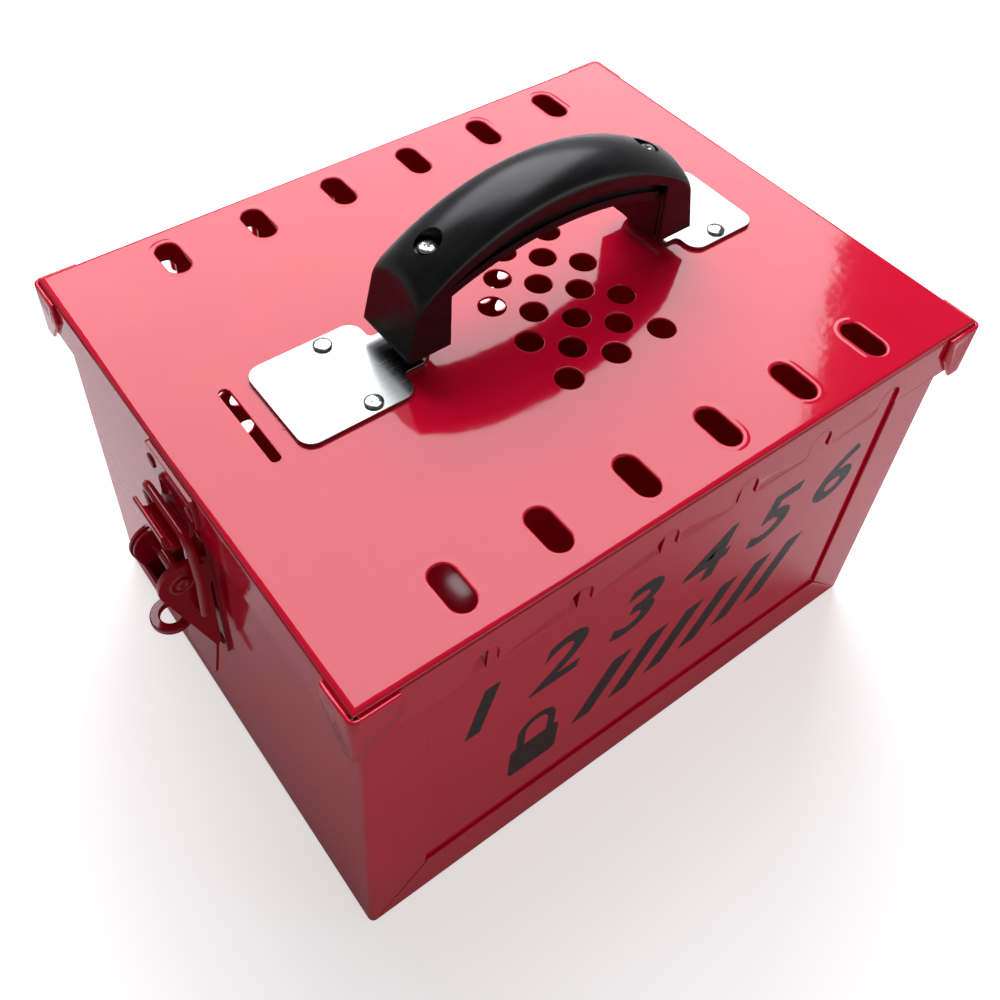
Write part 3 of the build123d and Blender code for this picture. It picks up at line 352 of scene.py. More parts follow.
def brushed_steel(name):
    """Bright sheet steel with fine lines along X and faint smears."""
    material, nodes, shader = new_material(name, Metallic=1.0, Anisotropic=0.3)
    lines = nodes.noise(1.0, 3, (70, 2600, 2600), 0.6)
    smears = nodes.noise(95, 3)
    nodes.feed(shader["Base Color"], nodes.tones(smears, *STEEL_TONES))
    gloss = nodes.between(lines, 0.2, 0.29)
    nodes.feed(shader["Roughness"], nodes.maths("ADD", gloss, nodes.between(smears, 0.04, -0.04)))
    nodes.feed(shader["Normal"], nodes.bump(lines, 0.002 * MM))
    return material


def zinc_plate(name):
    """Bright zinc plating with a soft mottle."""
    material, nodes, shader = new_material(name, Metallic=1.0)
    mottle = nodes.noise(900, 3)
    nodes.feed(shader["Base Color"], nodes.tones(mottle, *ZINC_TONES))
    nodes.feed(shader["Roughness"], nodes.between(mottle, 0.14, 0.28))
    nodes.feed(shader["Normal"], nodes.bump(nodes.noise(400), 0.02 * MM))
    return material


def black_plastic(name):
    """Moulded black plastic with a fine skin and faint rubbed places."""
    material, nodes, shader = new_material(name, IOR=1.5, Specular_IOR_Level=0.36)
    rubbed = nodes.noise(60, 4, (1, 3, 3))
    nodes.feed(shader["Base Color"], nodes.tones(rubbed, *PLASTIC_TONES))
    nodes.feed(shader["Roughness"], nodes.between(rubbed, 0.26, 0.36))
    grain = nodes.bump(nodes.noise(2600), 0.006 * MM)
    nodes.feed(shader["Normal"], nodes.bump(nodes.noise(140), 0.05 * MM, grain))
    return material


def print_ink(name):
    """Screen-printed black ink, a little uneven."""
    material, nodes, shader = new_material(name, Specular_IOR_Level=0.3)
    patchy = nodes.noise(500, 4)
    nodes.feed(shader["Base Color"], nodes.tones(patchy, *INK_TONES))
    nodes.feed(shader["Roughness"], nodes.between(patchy, 0.3, 0.5))
    nodes.feed(shader["Normal"], nodes.bump(nodes.noise(520), 0.01 * MM))
    return material


def ray_amount(nodes, seen, reflected, otherwise):
    """Strength for camera rays, for glossy and transmission rays, and for all the others."""
    path = nodes.add("LightPath").outputs
    mirrored = nodes.maths("MAXIMUM", path["Is Glossy Ray"], path["Is Transmission Ray"])
    base = nodes.maths("MULTIPLY", mirrored, nodes.maths("SUBTRACT", reflected, otherwise))
    direct = nodes.maths("MULTIPLY", path["Is Camera Ray"], seen - otherwise)
    return nodes.maths("ADD", nodes.maths("ADD", base, direct), otherwise)


def add_lamp(name, place, size, watts):
    """Rectangular area lamp that faces down until it is turned."""
    data = bpy.data.lights.new(name, "AREA")
    data.shape = "RECTANGLE"
    data.size, data.size_y = size
    data.energy = watts
    lamp = bpy.data.objects.new(name, data)
    lamp.location = place
    lamp.visible_camera = False
    bpy.context.scene.collection.objects.link(lamp)
    return lamp


def add_floor():
    """Pale paper floor that keeps the part's shadow."""
    mesh = bpy.data.meshes.new("floor")
    corners = [(-FLOOR_HALF, -FLOOR_HALF, 0), (FLOOR_HALF, -FLOOR_HALF, 0)]
    corners += [(FLOOR_HALF, FLOOR_HALF, 0), (-FLOOR_HALF, FLOOR_HALF, 0)]
    mesh.from_pydata(corners, [], [(0, 1, 2, 3)])
    floor = bpy.data.objects.new("floor", mesh)
    bpy.context.scene.collection.objects.link(floor)
    material, nodes, shader = new_material("floor_paper", Base_Color=(*FLOOR_COLOUR, 1),
                                           Specular_IOR_Level=0.0, Emission_Color=(1, 1, 1, 1))
    nodes.feed(shader["Roughness"], nodes.between(nodes.noise(40), 0.85, 0.95))
    lift = ray_amount(nodes, FLOOR_LIFT_SEEN, FLOOR_LIFT_REFLECTED, 0.0)
    nodes.feed(shader["Emission Strength"], lift)
    mesh.materials.append(material)


def add_world():
    """White surroundings, which reflections see darker towards the zenith."""
    world = bpy.data.worlds.new("studio")
    bpy.context.scene.world = world
    nodes = Nodes(world)
    background = nodes.tree.nodes["Background"]
    background.inputs["Color"].default_value = (1, 1, 1, 1)
    direction = nodes.add("TexCoord").outputs["Generated"]
    rise = nodes.add("SeparateXYZ", Vector=direction).outputs["Z"]
    reflected = nodes.span(rise, 0.0, ZENITH_RISE, HORIZON_REFLECTED, ZENITH_REFLECTED)
    nodes.feed(background.inputs["Strength"], ray_amount(nodes, WORLD_SEEN, reflected, WORLD_LIGHT))


def add_studio():
    """Floor, surroundings, a large softbox overhead and behind, and a low fill lamp in front."""
    add_floor()
    add_world()
    softbox = add_lamp("softbox", SOFTBOX_PLACE, SOFTBOX_SIZE, SOFTBOX_WATTS)
    softbox.rotation_euler = (0, 0, SOFTBOX_TURN)
    softbox.data.color = SOFTBOX_COLOUR
    fill = add_lamp("fill", FILL_PLACE, FILL_SIZE, FILL_WATTS)
    fill.rotation_euler = (Vector(FILL_AIM) - Vector(FILL_PLACE)).to_track_quat("-Z", "Y").to_euler()
    bpy.context.scene.view_settings.view_transform = "Standard"


def link_piece(name, mesh, material, body, slot, *nodes):
    """Show a mesh as a piece that rides on a body and stands for nodes."""
    piece = bpy.data.objects.new(name, mesh)
    bpy.context.scene.collection.objects.link(piece)
    mesh.materials.clear()
    mesh.materials.append(material)
    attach(piece, body)
    if nodes:
        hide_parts(*nodes)
    return piece


def smooth(mesh, angle=30):
    """Smooth shading, with edges sharper than an angle in degrees kept hard."""
    mesh.polygons.foreach_set("use_smooth", [True] * len(mesh.polygons))
    mesh.set_sharp_from_angle(angle=radians(angle))


def from_work(name, work, angle=30):
    """Smooth mesh from a finished bmesh."""
    bmesh.ops.recalc_face_normals(work, faces=work.faces)
    mesh = bpy.data.meshes.new(name)
    work.to_mesh(mesh)
    work.free()
    smooth(mesh, angle)
    return mesh


def in_metres(points):
    """Points given in millimetres, in metres."""
    return [(first * MM, second * MM) for first, second in points]


def cleaned(mesh):
    """Bmesh of a CAD node without its own shading, double points and splits of flat faces."""
    for layer in ("custom_normal", "sharp_edge", "sharp_face"):
        if layer in mesh.attributes:
            mesh.attributes.remove(mesh.attributes[layer])
    work = bmesh.new()
    work.from_mesh(mesh)
    bmesh.ops.remove_doubles(work, verts=work.verts, dist=SAME_PLACE)
    bmesh.ops.dissolve_limit(work, angle_limit=FLAT_ANGLE, verts=work.verts, edges=work.edges)
    for face in work.faces:
        face.smooth = True
    return work


def softened(name, slot, material, width, segments, clamped):
    """Copy of a CAD node with its hard edges rounded, as thick paint and deburring leave them.

    A bevel that isn't clamped is as wide as it says, and leaves out the short edges of tight corners."""
    mesh = frame["nodes"][name].data.copy()
    mesh.name = name + "_finish"
    work = cleaned(mesh)
    if not clamped:
        weights = work.edges.layers.float.new("bevel_weight_edge")
        for edge in work.edges:
            if edge.is_manifold and edge.calc_face_angle() > HARD_ANGLE:
                edge.smooth = edge.calc_length() > SHORT_EDGE
                edge[weights] = float(edge.smooth)
    work.to_mesh(mesh)
    work.free()
    piece = link_piece(name + "_finish", mesh, material, BODY_OF[name], slot, name)
    bevel = piece.modifiers.new("edge", "BEVEL")
    bevel.width = width
    bevel.segments = segments
    bevel.limit_method = "ANGLE" if clamped else "WEIGHT"
    bevel.angle_limit = HARD_ANGLE
    bevel.use_clamp_overlap = clamped
    bevel.harden_normals = clamped
    if not clamped:
        flat = piece.modifiers.new("flat", "WEIGHTED_NORMAL")
        flat.weight = 100
        flat.keep_sharp = True
    return piece


def settle(piece):
    """Apply all the modifiers of a piece."""
    bpy.context.view_layer.update()
    graph = bpy.context.evaluated_depsgraph_get()
    mesh = bpy.data.meshes.new_from_object(piece.evaluated_get(graph))
    piece.modifiers.clear()
    piece.data = mesh


def cut(piece, cutter):
    """Take the cutter's form out of a piece."""
    mesh = bpy.data.meshes.new("cutter")
    cutter.to_mesh(mesh)
    cutter.free()
    tool = bpy.data.objects.new("cutter", mesh)
    bpy.context.scene.collection.objects.link(tool)
    difference = piece.modifiers.new("cut", "BOOLEAN")
    difference.object = tool
    difference.solver = "EXACT"
    difference.use_self = True
    settle(piece)
    bpy.data.objects.remove(tool)
    smooth(piece.data)


def turned(work, profile, place, axis="Z", steps=32):
    """Add to a mesh a closed turned form: (radius, height) pairs about an axis through a place."""
    turn = {"Z": Matrix.Identity(3),
            "X": Matrix.Rotation(pi / 2, 3, "Y"), "-X": Matrix.Rotation(-pi / 2, 3, "Y"),
            "Y": Matrix.Rotation(-pi / 2, 3, "X"), "-Y": Matrix.Rotation(pi / 2, 3, "X")}[axis]
    rings = []
    for radius, height in profile:
        if radius == 0:
            rings.append([work.verts.new(turn @ Vector((0, 0, height)) + place)])
            continue
        ring = []
        for step in range(steps):
            angle = 2 * pi * step / steps
            point = Vector((radius * cos(angle), radius * sin(angle), height))
            ring.append(work.verts.new(turn @ point + place))
        rings.append(ring)
    for low, high in zip(rings, rings[1:]):
        for step in range(steps):
            follow = (step + 1) % steps
            if len(low) == 1:
                work.faces.new((low[0], high[follow], high[step]))
            elif len(high) == 1:
                work.faces.new((low[step], low[follow], high[0]))
            else:
                work.faces.new((low[step], low[follow], high[follow], high[step]))


def dome(radius, seat, height, dimple_radius=0, dimple_depth=0):
    """Profile of a domed rivet head with a shallow dimple, from its rim to its middle."""
    rim = DOME_RIM * height
    points = [(radius, seat), (radius, seat + rim)]
    for share in DOME_SHARES:
        points.append((radius * share, seat + rim + (height - rim) * sqrt(1 - share ** 2)))
    if not dimple_radius:
        return points + [(radius * DOME_FLAT, seat + height), (0, seat + height)]
    top = seat + height * DIMPLE_TOP
    return points + [(dimple_radius * reach, top - dimple_depth * fall) for reach, fall in DIMPLE_POINTS]


def rivet(shank, tail, inside, seat, head):
    """Profile of a rivet: a formed tail under the inside height, a shank up to the seat, and a head."""
    low = inside - TAIL_HEIGHT
    formed = [(0, low), (tail - TAIL_CHAMFER, low), (tail, low + TAIL_CHAMFER), (tail, inside)]
    return formed + [(shank, inside), (shank, seat)] + head


def handle_rivets(name):
    """Two bright rivets with a dimple, through an end plate and the lid."""
    work = bmesh.new()
    seat = LID_TOP + STRAP_THICKNESS
    head = dome(3.35 * MM, seat, 1.3 * MM, 1.2 * MM, 0.14 * MM)
    profile = rivet(RIVET_SHANK, RIVET_TAIL, LID_TOP - SHEET, seat, head)
    for side in SIDES:
        turned(work, profile, Vector((RIVET_PLACES[name], side * RIVET_Y, 0)))
    link_piece(name + "_heads", from_work(name, work), ZINC, "lid", "zinc", name)


def end_rivets(name, slot, material, y, heights, seat, inside):
    """Small rivets along X, two at each height: domed head outside, flat formed end inside."""
    work = bmesh.new()
    deep = abs(seat - inside)
    profile = rivet(SMALL_SHANK, SMALL_TAIL, 0, deep, dome(2.7 * MM, deep, 0.9 * MM))
    for z in heights:
        for side in SIDES:
            turned(work, profile, Vector((inside, side * y, z)), "X" if seat > 0 else "-X")
    link_piece(name + "_heads", from_work(name, work), material, BODY_OF[name], slot, name)


def pivot_pin():
    """Red pin through the ears and cheeks, with a low domed head at each end."""
    work = bmesh.new()
    seat = CHEEK_OUTER_Y + PIN_CLEARANCE
    half = [(PIN_RADIUS, 0), (PIN_RADIUS, seat)] + dome(2.75 * MM, seat, 0.75 * MM, 1.2 * MM, 0.25 * MM)
    mirrored = [(radius, -height) for radius, height in reversed(half)]
    turned(work, mirrored[:-1] + half[1:], PIVOT, "Y")
    mesh = from_work("pin", work)
    link_piece("lever_pivot_pin_finish", mesh, LATCH_RED_PAINTED_SHADE, "box", "latch_paint", "lever_pivot_pin")


def cheek_rings():
    """Low pressed ring round the pin on each cheek of the lever."""
    work = bmesh.new()
    for side, axis in zip(SIDES, ("-Y", "Y")):
        turned(work, in_metres(CHEEK_RING_POINTS), PIVOT + Vector((0, side * CHEEK_OUTER_Y, 0)), axis, 48)
    bmesh.ops.remove_doubles(work, verts=work.verts, dist=SAME_PLACE / 10)
    link_piece("lever_cheek_rings", from_work("cheek_rings", work), LATCH_RED_PAINTED_SHADE, "lever", "latch_paint")


def weld_marks(piece):
    """Shallow spot-weld dishes in the corner clips' legs."""
    cutter = bmesh.new()
    face_x = LID_HALF_X + CLIP_THICKNESS
    face_y = LID_HALF_Y + CLIP_THICKNESS
    z = LID_TOP - WELD_BELOW_TOP
    for right, along_x in zip(SIDES, ("-X", "X")):
        for back, along_y in zip(SIDES, ("-Y", "Y")):
            on_end = Vector((right * face_x, back * (face_y - WELD_FROM_CORNER), z))
            on_side = Vector((right * (face_x - WELD_FROM_CORNER), back * face_y, z))
            turned(cutter, WELD_DISH, on_end, along_x, 24)
            turned(cutter, WELD_DISH, on_side, along_y, 24)
    bmesh.ops.recalc_face_normals(cutter, faces=cutter.faces)
    cut(piece, cutter)


def bead(work, path, up, profile, closed):
    """Raised strip beside an opening. The path is (point, direction away from it) pairs; the profile is a
    closed line of (distance away from the opening, height) pairs."""
    rings = [[work.verts.new(point + side * away + up * height) for away, height in profile]
             for point, side in path]
    pairs = list(zip(rings, rings[1:]))
    if closed:
        pairs.append((rings[-1], rings[0]))
    else:
        work.faces.new(rings[0])
        work.faces.new(list(reversed(rings[-1])))
    for one, other in pairs:
        for index in range(len(profile)):
            follow = (index + 1) % len(profile)
            work.faces.new((one[index], one[follow], other[follow], other[index]))


def slot_path(x, y, length, width):
    """Outline of an obround slot along Y in the lid's top."""
    path = []
    for start, shift in ((0, (length - width) / 2), (pi, (width - length) / 2)):
        for step in range(SLOT_ARC_STEPS + 1):
            angle = start + pi * step / SLOT_ARC_STEPS
            side = Vector((cos(angle), sin(angle), 0))
            path.append((Vector((x, y + shift, LID_TOP)) + side * width / 2, side))
    return path


def skirt_path(y):
    """Lower edge of the front or back skirt with its notches, from left to right."""
    turns = [pi / 2 * step / NOTCH_FLARE_STEPS for step in range(NOTCH_FLARE_STEPS + 1)]
    low = SKIRT_BOTTOM + NOTCH_FLARE
    path = [(Vector((-SKIRT_EDGE_END, y, SKIRT_BOTTOM)), UP)]
    for x in SLOT_XS:
        for turn in turns:
            side = Vector((-sin(turn), 0, cos(turn)))
            path.append((Vector((x - NOTCH_RADIUS - NOTCH_FLARE, y, low)) - side * NOTCH_FLARE, side))
        for step in range(NOTCH_STEPS + 1):
            turn = pi * step / NOTCH_STEPS
            side = Vector((-cos(turn), 0, sin(turn)))
            path.append((Vector((x, y, NOTCH_TOP - NOTCH_RADIUS)) + side * NOTCH_RADIUS, side))
        for turn in reversed(turns):
            side = Vector((sin(turn), 0, cos(turn)))
            path.append((Vector((x + NOTCH_RADIUS + NOTCH_FLARE, y, low)) - side * NOTCH_FLARE, side))
    path.append((Vector((SKIRT_EDGE_END, y, SKIRT_BOTTOM)), UP))
    return path


def rim_profile(scale):
    """Section of a slot's raised rim with its foot in the sheet."""
    raised = [(away * scale, height * scale) for away, height in in_metres(RIM_POINTS)]
    return raised + [(RIM_WALL, RIM_FOOT), (raised[0][0], RIM_FOOT)]


def lid_beads():
    """Raised rims that punching and thick paint leave round the lid's slots and along its skirts' edges."""
    work = bmesh.new()
    for x in SLOT_XS:
        for side in SIDES:
            bead(work, slot_path(x, side * SLOT_Y, SLOT_LENGTH, SLOT_WIDTH), UP, rim_profile(1), True)
    key_path = slot_path(KEY_SLOT_X, 0, KEY_SLOT_LENGTH, KEY_SLOT_WIDTH)
    bead(work, key_path, UP, rim_profile(KEY_RIM_SCALE), True)
    for side in SIDES:
        outward = Vector((0, side, 0))
        bead(work, skirt_path(side * LID_HALF_Y), outward, in_metres(SKIRT_EDGE_POINTS), False)
    link_piece("lid_edge_beads", from_work("lid_beads", work, 50), LID_RED, "lid", "lid_paint")


def crown_height(x):
    """Height of the grip's crest line above the lid, at an offset from the handle's centre."""
    return sqrt(CROWN_RADIUS ** 2 - x ** 2) - CROWN_DROP


def crown_drop(y):
    """How far the grip's crown lies below its crest, at a distance to the side."""
    return SECTION_RADIUS - sqrt(SECTION_RADIUS ** 2 - y ** 2)


def crest(station, y):
    """(x, height) of the grip's outer face at a station along it and a distance to the side."""
    if station > STATIONS // 2:
        mirrored = crest(STATIONS - 1 - station, y)
        return Vector((-mirrored.x, mirrored.y))
    radius = CROWN_RADIUS - crown_drop(y)
    slope = (FOOT_HALF - SHOULDER_HALF) / (SHOULDER_HEIGHT - FOOT_HEIGHT)
    x = SHOULDER_HALF
    for _ in range(SOLVER_ROUNDS):
        x = FOOT_HALF - slope * (sqrt(radius ** 2 - x ** 2) - CROWN_DROP - FOOT_HEIGHT)
    foot = Vector((FOOT_HALF, FOOT_HEIGHT))
    corner = Vector((x, sqrt(radius ** 2 - x ** 2) - CROWN_DROP))
    start = corner + Vector((slope, -1)).normalized() * SHOULDER_ROUNDING
    swing = asin(x / radius) - SHOULDER_ROUNDING / radius
    if station < LEG_STEPS:
        return foot.lerp(start, station / LEG_STEPS)
    if station < LEG_STEPS + BEND_STEPS:
        end = Vector((radius * sin(swing), radius * cos(swing) - CROWN_DROP))
        share = (station - LEG_STEPS) / BEND_STEPS
        return start.lerp(corner, share).lerp(corner.lerp(end, share), share)
    angle = swing * (1 - 2 * (station - LEG_STEPS - BEND_STEPS) / ARC_STEPS)
    return Vector((radius * sin(angle), radius * cos(angle) - CROWN_DROP))


def lower_edge(station):
    """(x, height) of the upper half's lower edge at a station."""
    if station > STATIONS // 2:
        mirrored = lower_edge(STATIONS - 1 - station)
        return Vector((-mirrored.x, mirrored.y))
    legs = LEG_STEPS + BEND_STEPS
    if station < legs:
        top = sqrt(EDGE_RADIUS ** 2 - INNER_HALF ** 2) - EDGE_DROP
        return Vector((INNER_HALF, FOOT_HEIGHT + (top - FOOT_HEIGHT) * station / legs))
    x = INNER_HALF * (1 - 2 * (station - legs) / ARC_STEPS)
    return Vector((x, sqrt(EDGE_RADIUS ** 2 - x ** 2) - EDGE_DROP))


def half_width(height):
    """Half width of the grip at a height above the lid."""
    share = (height - FOOT_HEIGHT) / (CREST_HEIGHT - FOOT_HEIGHT)
    return FOOT_HALF_WIDTH + (CREST_HALF_WIDTH - FOOT_HALF_WIDTH) * share


def grip_section(station):
    """Half of the grip's section at a station, from its lower edge to its crest, as 3-D points."""
    def outer(y):
        point = crest(station, y)
        return Vector((point.x, y, point.y))

    edge = lower_edge(station)
    start = Vector((edge.x, half_width(edge.y), edge.y))
    corner = outer(half_width(crest(station, CREST_HALF_WIDTH).y))
    from_end = min(station, STATIONS - 1 - station)
    crowned = min(max((from_end - LEG_STEPS) / BEND_STEPS, 0.0), 1.0)
    near = corner + (start - corner).normalized() * (SIDE_ROLL + SIDE_ROLL_GAIN * crowned) * MM
    far = outer(corner.y - (TOP_ROLL + TOP_ROLL_GAIN * crowned) * MM)
    points = [start.lerp(near, share) for share in SIDE_SHARES]
    for step in range(ROLL_STEPS):
        share = step / ROLL_STEPS
        points.append(near.lerp(corner, share).lerp(corner.lerp(far, share), share))
    points += [outer(far.y * (1 - step / CROWN_STEPS)) for step in range(CROWN_STEPS + 1)]
    return points


def grip_shell():
    """Upper half of the grip: one swept moulded skin, its screw wells and their holes."""
    work = bmesh.new()
    rows = []
    for station in range(STATIONS):
        half = grip_section(station)
        ring = half + [Vector((p.x, -p.y, p.z)) for p in reversed(half[:-1])]
        rows.append([work.verts.new(p + Vector((HANDLE_X, 0, LID_TOP))) for p in ring])
    for one, other in zip(rows, rows[1:]):
        for index in range(len(one) - 1):
            work.faces.new((one[index], one[index + 1], other[index + 1], other[index]))
    mesh = from_work("grip_skin", work, 60)
    piece = link_piece("grip_shell_skin", mesh, PLASTIC, "lid", "grip_plastic", "grip_shell")
    skin = piece.modifiers.new("wall", "SOLIDIFY")
    skin.thickness = GRIP_WALL
    skin.offset = -1
    rim = piece.modifiers.new("rim", "BEVEL")
    rim.width = GRIP_RIM_ROUNDING
    rim.segments = 2
    rim.limit_method = "ANGLE"
    rim.angle_limit = 1.0
    cutter = bmesh.new()
    wells = bmesh.new()
    bottom = SCREW_SEAT - COUNTERBORE_BELOW_SEAT
    bore = [(0, bottom), (COUNTERBORE_RADIUS, bottom), (COUNTERBORE_RADIUS, CROWN_RADIUS), (0, CROWN_RADIUS)]
    for side in SIDES:
        place = Vector((HANDLE_X + side * SCREW_OFFSET, 0, LID_TOP))
        turned(cutter, bore, place, "Z", 48)
        well(wells, place)
    bmesh.ops.recalc_face_normals(cutter, faces=cutter.faces)
    cut(piece, cutter)
    link_piece("grip_screw_wells", from_work("wells", wells), PLASTIC, "lid", "grip_plastic")


def well(work, place, steps=48):
    """Cup under a screw head, whose rim follows the crown from inside the wall."""
    def ring(radius, height=None):
        verts = []
        for step in range(steps):
            angle = 2 * pi * step / steps
            x = radius * cos(angle)
            y = radius * sin(angle)
            z = height
            if height is None:
                z = crown_height(place.x - HANDLE_X + x) - crown_drop(y) - WELL_BELOW_CROWN
            verts.append(work.verts.new(Vector((place.x + x, y, LID_TOP + z))))
        return verts

    inner = COUNTERBORE_RADIUS - WELL_CLEARANCE
    outer = COUNTERBORE_RADIUS + WELL_WALL
    top = SCREW_SEAT - WELL_CLEARANCE
    bottom = top - WELL_FLOOR
    rings = [ring(WELL_BORE, top), ring(inner, top), ring(inner), ring(outer), ring(outer, bottom),
             ring(WELL_BORE, bottom)]
    for low, high in zip(rings, rings[1:] + rings[:1]):
        for step in range(steps):
            follow = (step + 1) % steps
            work.faces.new((low[step], low[follow], high[follow], high[step]))


def screws():
    """Two bright screws with a cross recess, deep in the grip's counterbores."""
    work = bmesh.new()
    cutter = bmesh.new()
    seat = LID_TOP + SCREW_SEAT
    profile = [(radius, seat - SCREW_LENGTH + height) for radius, height in SCREW_POINT]
    profile += [(SCREW_RADIUS, seat)] + dome(SCREW_HEAD_RADIUS, seat, SCREW_HEAD_HEIGHT)
    for side in SIDES:
        centre = Vector((HANDLE_X + side * SCREW_OFFSET, 0, 0))
        turned(work, profile, centre, "Z", 40)
        cross(cutter, centre + UP * (seat + CROSS_RISE), CROSS_TURNS[side])
    mesh = from_work("screws", work)
    cut(link_piece("grip_screws_finish", mesh, ZINC, "lid", "zinc", "grip_screws"), cutter)


def cross(cutter, centre, turn):
    """Cutter of a cross recess: two crossed blocks that narrow downwards."""
    for quarter in (0, pi / 2):
        block = bmesh.ops.create_cube(cutter, size=1)["verts"]
        bmesh.ops.scale(cutter, verts=block, vec=CROSS_SIZE)
        for vertex in block:
            if vertex.co.z < 0:
                vertex.co.x *= CROSS_TAPER
        bmesh.ops.rotate(cutter, verts=block, matrix=Matrix.Rotation(turn + quarter, 4, "Z"))
        bmesh.ops.translate(cutter, verts=block, vec=centre)


def numbers(work, face_y):
    """Numbers one to six, one under each arch."""
    parts = []
    for index in range(SLOTS_PER_ROW):
        curve = bpy.data.curves.new("number", "FONT")
        curve.body = str(index + 1)
        curve.size = NUMBER_SIZE
        curve.shear = NUMBER_LEAN
        curve.offset = NUMBER_BOLDNESS
        curve.align_x = "CENTER"
        curve.align_y = "BOTTOM_BASELINE"
        curve.extrude = INK_THICKNESS
        text = bpy.data.objects.new("number", curve)
        bpy.context.scene.collection.objects.link(text)
        x = NUMBERS_CENTRE_X + (index - (SLOTS_PER_ROW - 1) / 2) * NUMBER_PITCH
        upright = Matrix.Rotation(pi / 2, 4, "X") @ Matrix.Diagonal((NUMBER_WIDENING, 1, 1, 1))
        text.matrix_world = Matrix.Translation((x, face_y, NUMBER_LINE)) @ upright
        parts.append(text)
    bpy.context.view_layer.update()
    graph = bpy.context.evaluated_depsgraph_get()
    for text in parts:
        mesh = bpy.data.meshes.new_from_object(text.evaluated_get(graph))
        mesh.transform(text.matrix_world)
        work.from_mesh(mesh)
        bpy.data.meshes.remove(mesh)
        bpy.data.objects.remove(text)


def slab(work, outline, face_y):
    """Thin slab on the front panel from an outline of (x, z) points."""
    back = [work.verts.new((x, face_y, z)) for x, z in outline]
    front = [work.verts.new((x, face_y - INK_THICKNESS, z)) for x, z in outline]
    work.faces.new(front)
    work.faces.new(list(reversed(back)))
    for index in range(len(outline)):
        follow = (index + 1) % len(outline)
        work.faces.new((front[follow], front[index], back[index], back[follow]))


def arc(x, z, radius, start, sweep, steps):
    """Points of an arc round (x, z), from a start angle through a sweep."""
    angles = [start + sweep * step / steps for step in range(steps + 1)]
    return [(x + radius * cos(angle), z + radius * sin(angle)) for angle in angles]


def padlock_body():
    """Outline of the padlock sign's body, a rounded rectangle."""
    left = PADLOCK_LEFT + PADLOCK_ROUNDING
    right = PADLOCK_RIGHT - PADLOCK_ROUNDING
    low = PADLOCK_BOTTOM + PADLOCK_ROUNDING
    high = PADLOCK_TOP - PADLOCK_ROUNDING
    points = []
    for quarter, (x, z) in enumerate(((right, low), (right, high), (left, high), (left, low))):
        points += arc(x, z, PADLOCK_ROUNDING, pi / 2 * (quarter - 1), pi / 2, PADLOCK_CORNER_STEPS)
    return points


def padlock_shackle():
    """Outline of the padlock sign's shackle, an arch on two legs."""
    x = (PADLOCK_LEFT + PADLOCK_RIGHT) / 2
    spring = PADLOCK_TOP + SHACKLE_RISE
    outline = [(x + SHACKLE_OUTER, PADLOCK_TOP)]
    outline += arc(x, spring, SHACKLE_OUTER, 0, pi, SHACKLE_STEPS)
    outline += [(x - SHACKLE_OUTER, PADLOCK_TOP), (x - SHACKLE_INNER, PADLOCK_TOP)]
    outline += arc(x, spring, SHACKLE_INNER, pi, -pi, SHACKLE_STEPS)
    return outline + [(x + SHACKLE_INNER, PADLOCK_TOP)]


def front_print():
    """Numbers, a band of slanted stripes and a plain padlock sign, in black ink."""
    face_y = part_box("front_panel")[0][1]
    work = bmesh.new()
    numbers(work, face_y)
    for index in range(STRIPES):
        left = STRIPES_START + index * STRIPE_PITCH
        right = left + STRIPE_WIDTH
        slab(work, [(left, STRIPE_BOTTOM), (right, STRIPE_BOTTOM),
                    (right + STRIPE_LEAN, STRIPE_TOP), (left + STRIPE_LEAN, STRIPE_TOP)], face_y)
    slab(work, padlock_body(), face_y)
    slab(work, padlock_shackle(), face_y)
    mesh = bpy.data.meshes.new("front_print")
    work.to_mesh(mesh)
    work.free()
    link_piece("front_print", mesh, INK, "box", "body_paint")


add_camera()
add_studio()
LID_RED = powder_coat("lid_red", PAINT, 0.008 * MM, 0.08 * MM)
BODY_RED = powder_coat("body_red", PAINT, 0.004 * MM, 0.02 * MM)
# Latch paint: the same red paint, darkened as painted shade.
LATCH_RED_PAINTED_SHADE = powder_coat("latch_red_painted_shade", LATCH_PAINT_WITH_PAINTED_SHADE, 0.010 * MM, 0.03 * MM)
STEEL = brushed_steel("strap_steel")
ZINC = zinc_plate("zinc_plate")
PLASTIC = black_plastic("grip_black")
INK = print_ink("black_ink")

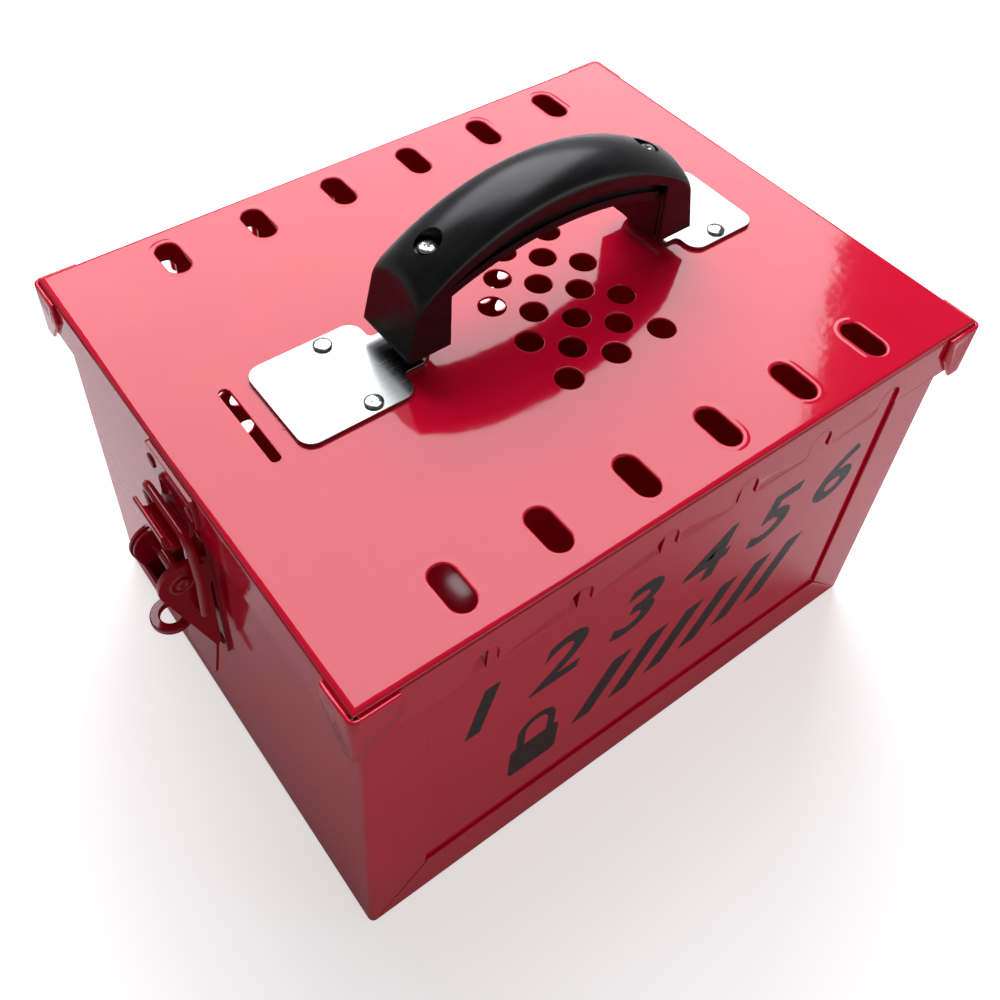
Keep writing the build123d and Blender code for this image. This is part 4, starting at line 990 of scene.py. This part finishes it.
# Slot, material, rounding, its segments, and whether it gives way to narrow places
FINISHES = {
    "lid_panel": ("lid_paint", LID_RED, 0.45 * MM, 3, False),
    "lid_corner_clips": ("lid_paint", LID_RED, 0.5 * MM, 3, True),
    "body_wrapper": ("body_paint", BODY_RED, 0.45 * MM, 3, False),
    "front_panel": ("body_paint", BODY_RED, 0.3 * MM, 2, False),
    "back_panel": ("body_paint", BODY_RED, 0.2 * MM, 2, False),
    "hinge_lid_leaf": ("body_paint", BODY_RED, 0.3 * MM, 2, True),
    "hinge_body_leaf": ("body_paint", BODY_RED, 0.3 * MM, 2, True),
    "hinge_pin": ("zinc", ZINC, 0.3 * MM, 2, True),
    "handle_strap": ("strap_steel", STEEL, 0.3 * MM, 3, True),
    "grip_liner": ("grip_plastic", PLASTIC, 0.6 * MM, 3, True),
    "keeper": ("latch_paint", LATCH_RED_PAINTED_SHADE, 0.45 * MM, 3, True),
    "latch_base": ("latch_paint", LATCH_RED_PAINTED_SHADE, 0.4 * MM, 3, True),
    "padlock_ring": ("latch_paint", LATCH_RED_PAINTED_SHADE, 0.8 * MM, 4, True),
    "latch_lever": ("latch_paint", LATCH_RED_PAINTED_SHADE, 0.4 * MM, 3, True),
    "latch_bail": ("latch_paint", LATCH_RED_PAINTED_SHADE, 0.3 * MM, 2, True),
}

# Slot, material, distance from the middle, heights, and x of the head's seat and of the inner face
END_RIVETS = {
    "keeper_rivets": ("latch_paint", LATCH_RED_PAINTED_SHADE, 0.013, (0.1595,), -0.1325, -0.1298),
    "latch_base_rivets": ("latch_paint", LATCH_RED_PAINTED_SHADE, 0.005, (0.1365, 0.0735), -0.1288, -0.1263),
    "hinge_lid_rivets": ("body_paint", BODY_RED, 0.048, (0.1575,), 0.1322, 0.1298),
    "hinge_body_rivets": ("body_paint", BODY_RED, 0.048, (0.128,), 0.1287, 0.1263),
}

for name, choices in FINISHES.items():
    finish = softened(name, *choices)
    if name == "lid_corner_clips":
        weld_marks(finish)
for name in RIVET_PLACES:
    handle_rivets(name)
for name, choices in END_RIVETS.items():
    end_rivets(name, *choices)
pivot_pin()
cheek_rings()
lid_beads()
grip_shell()
screws()
front_print()
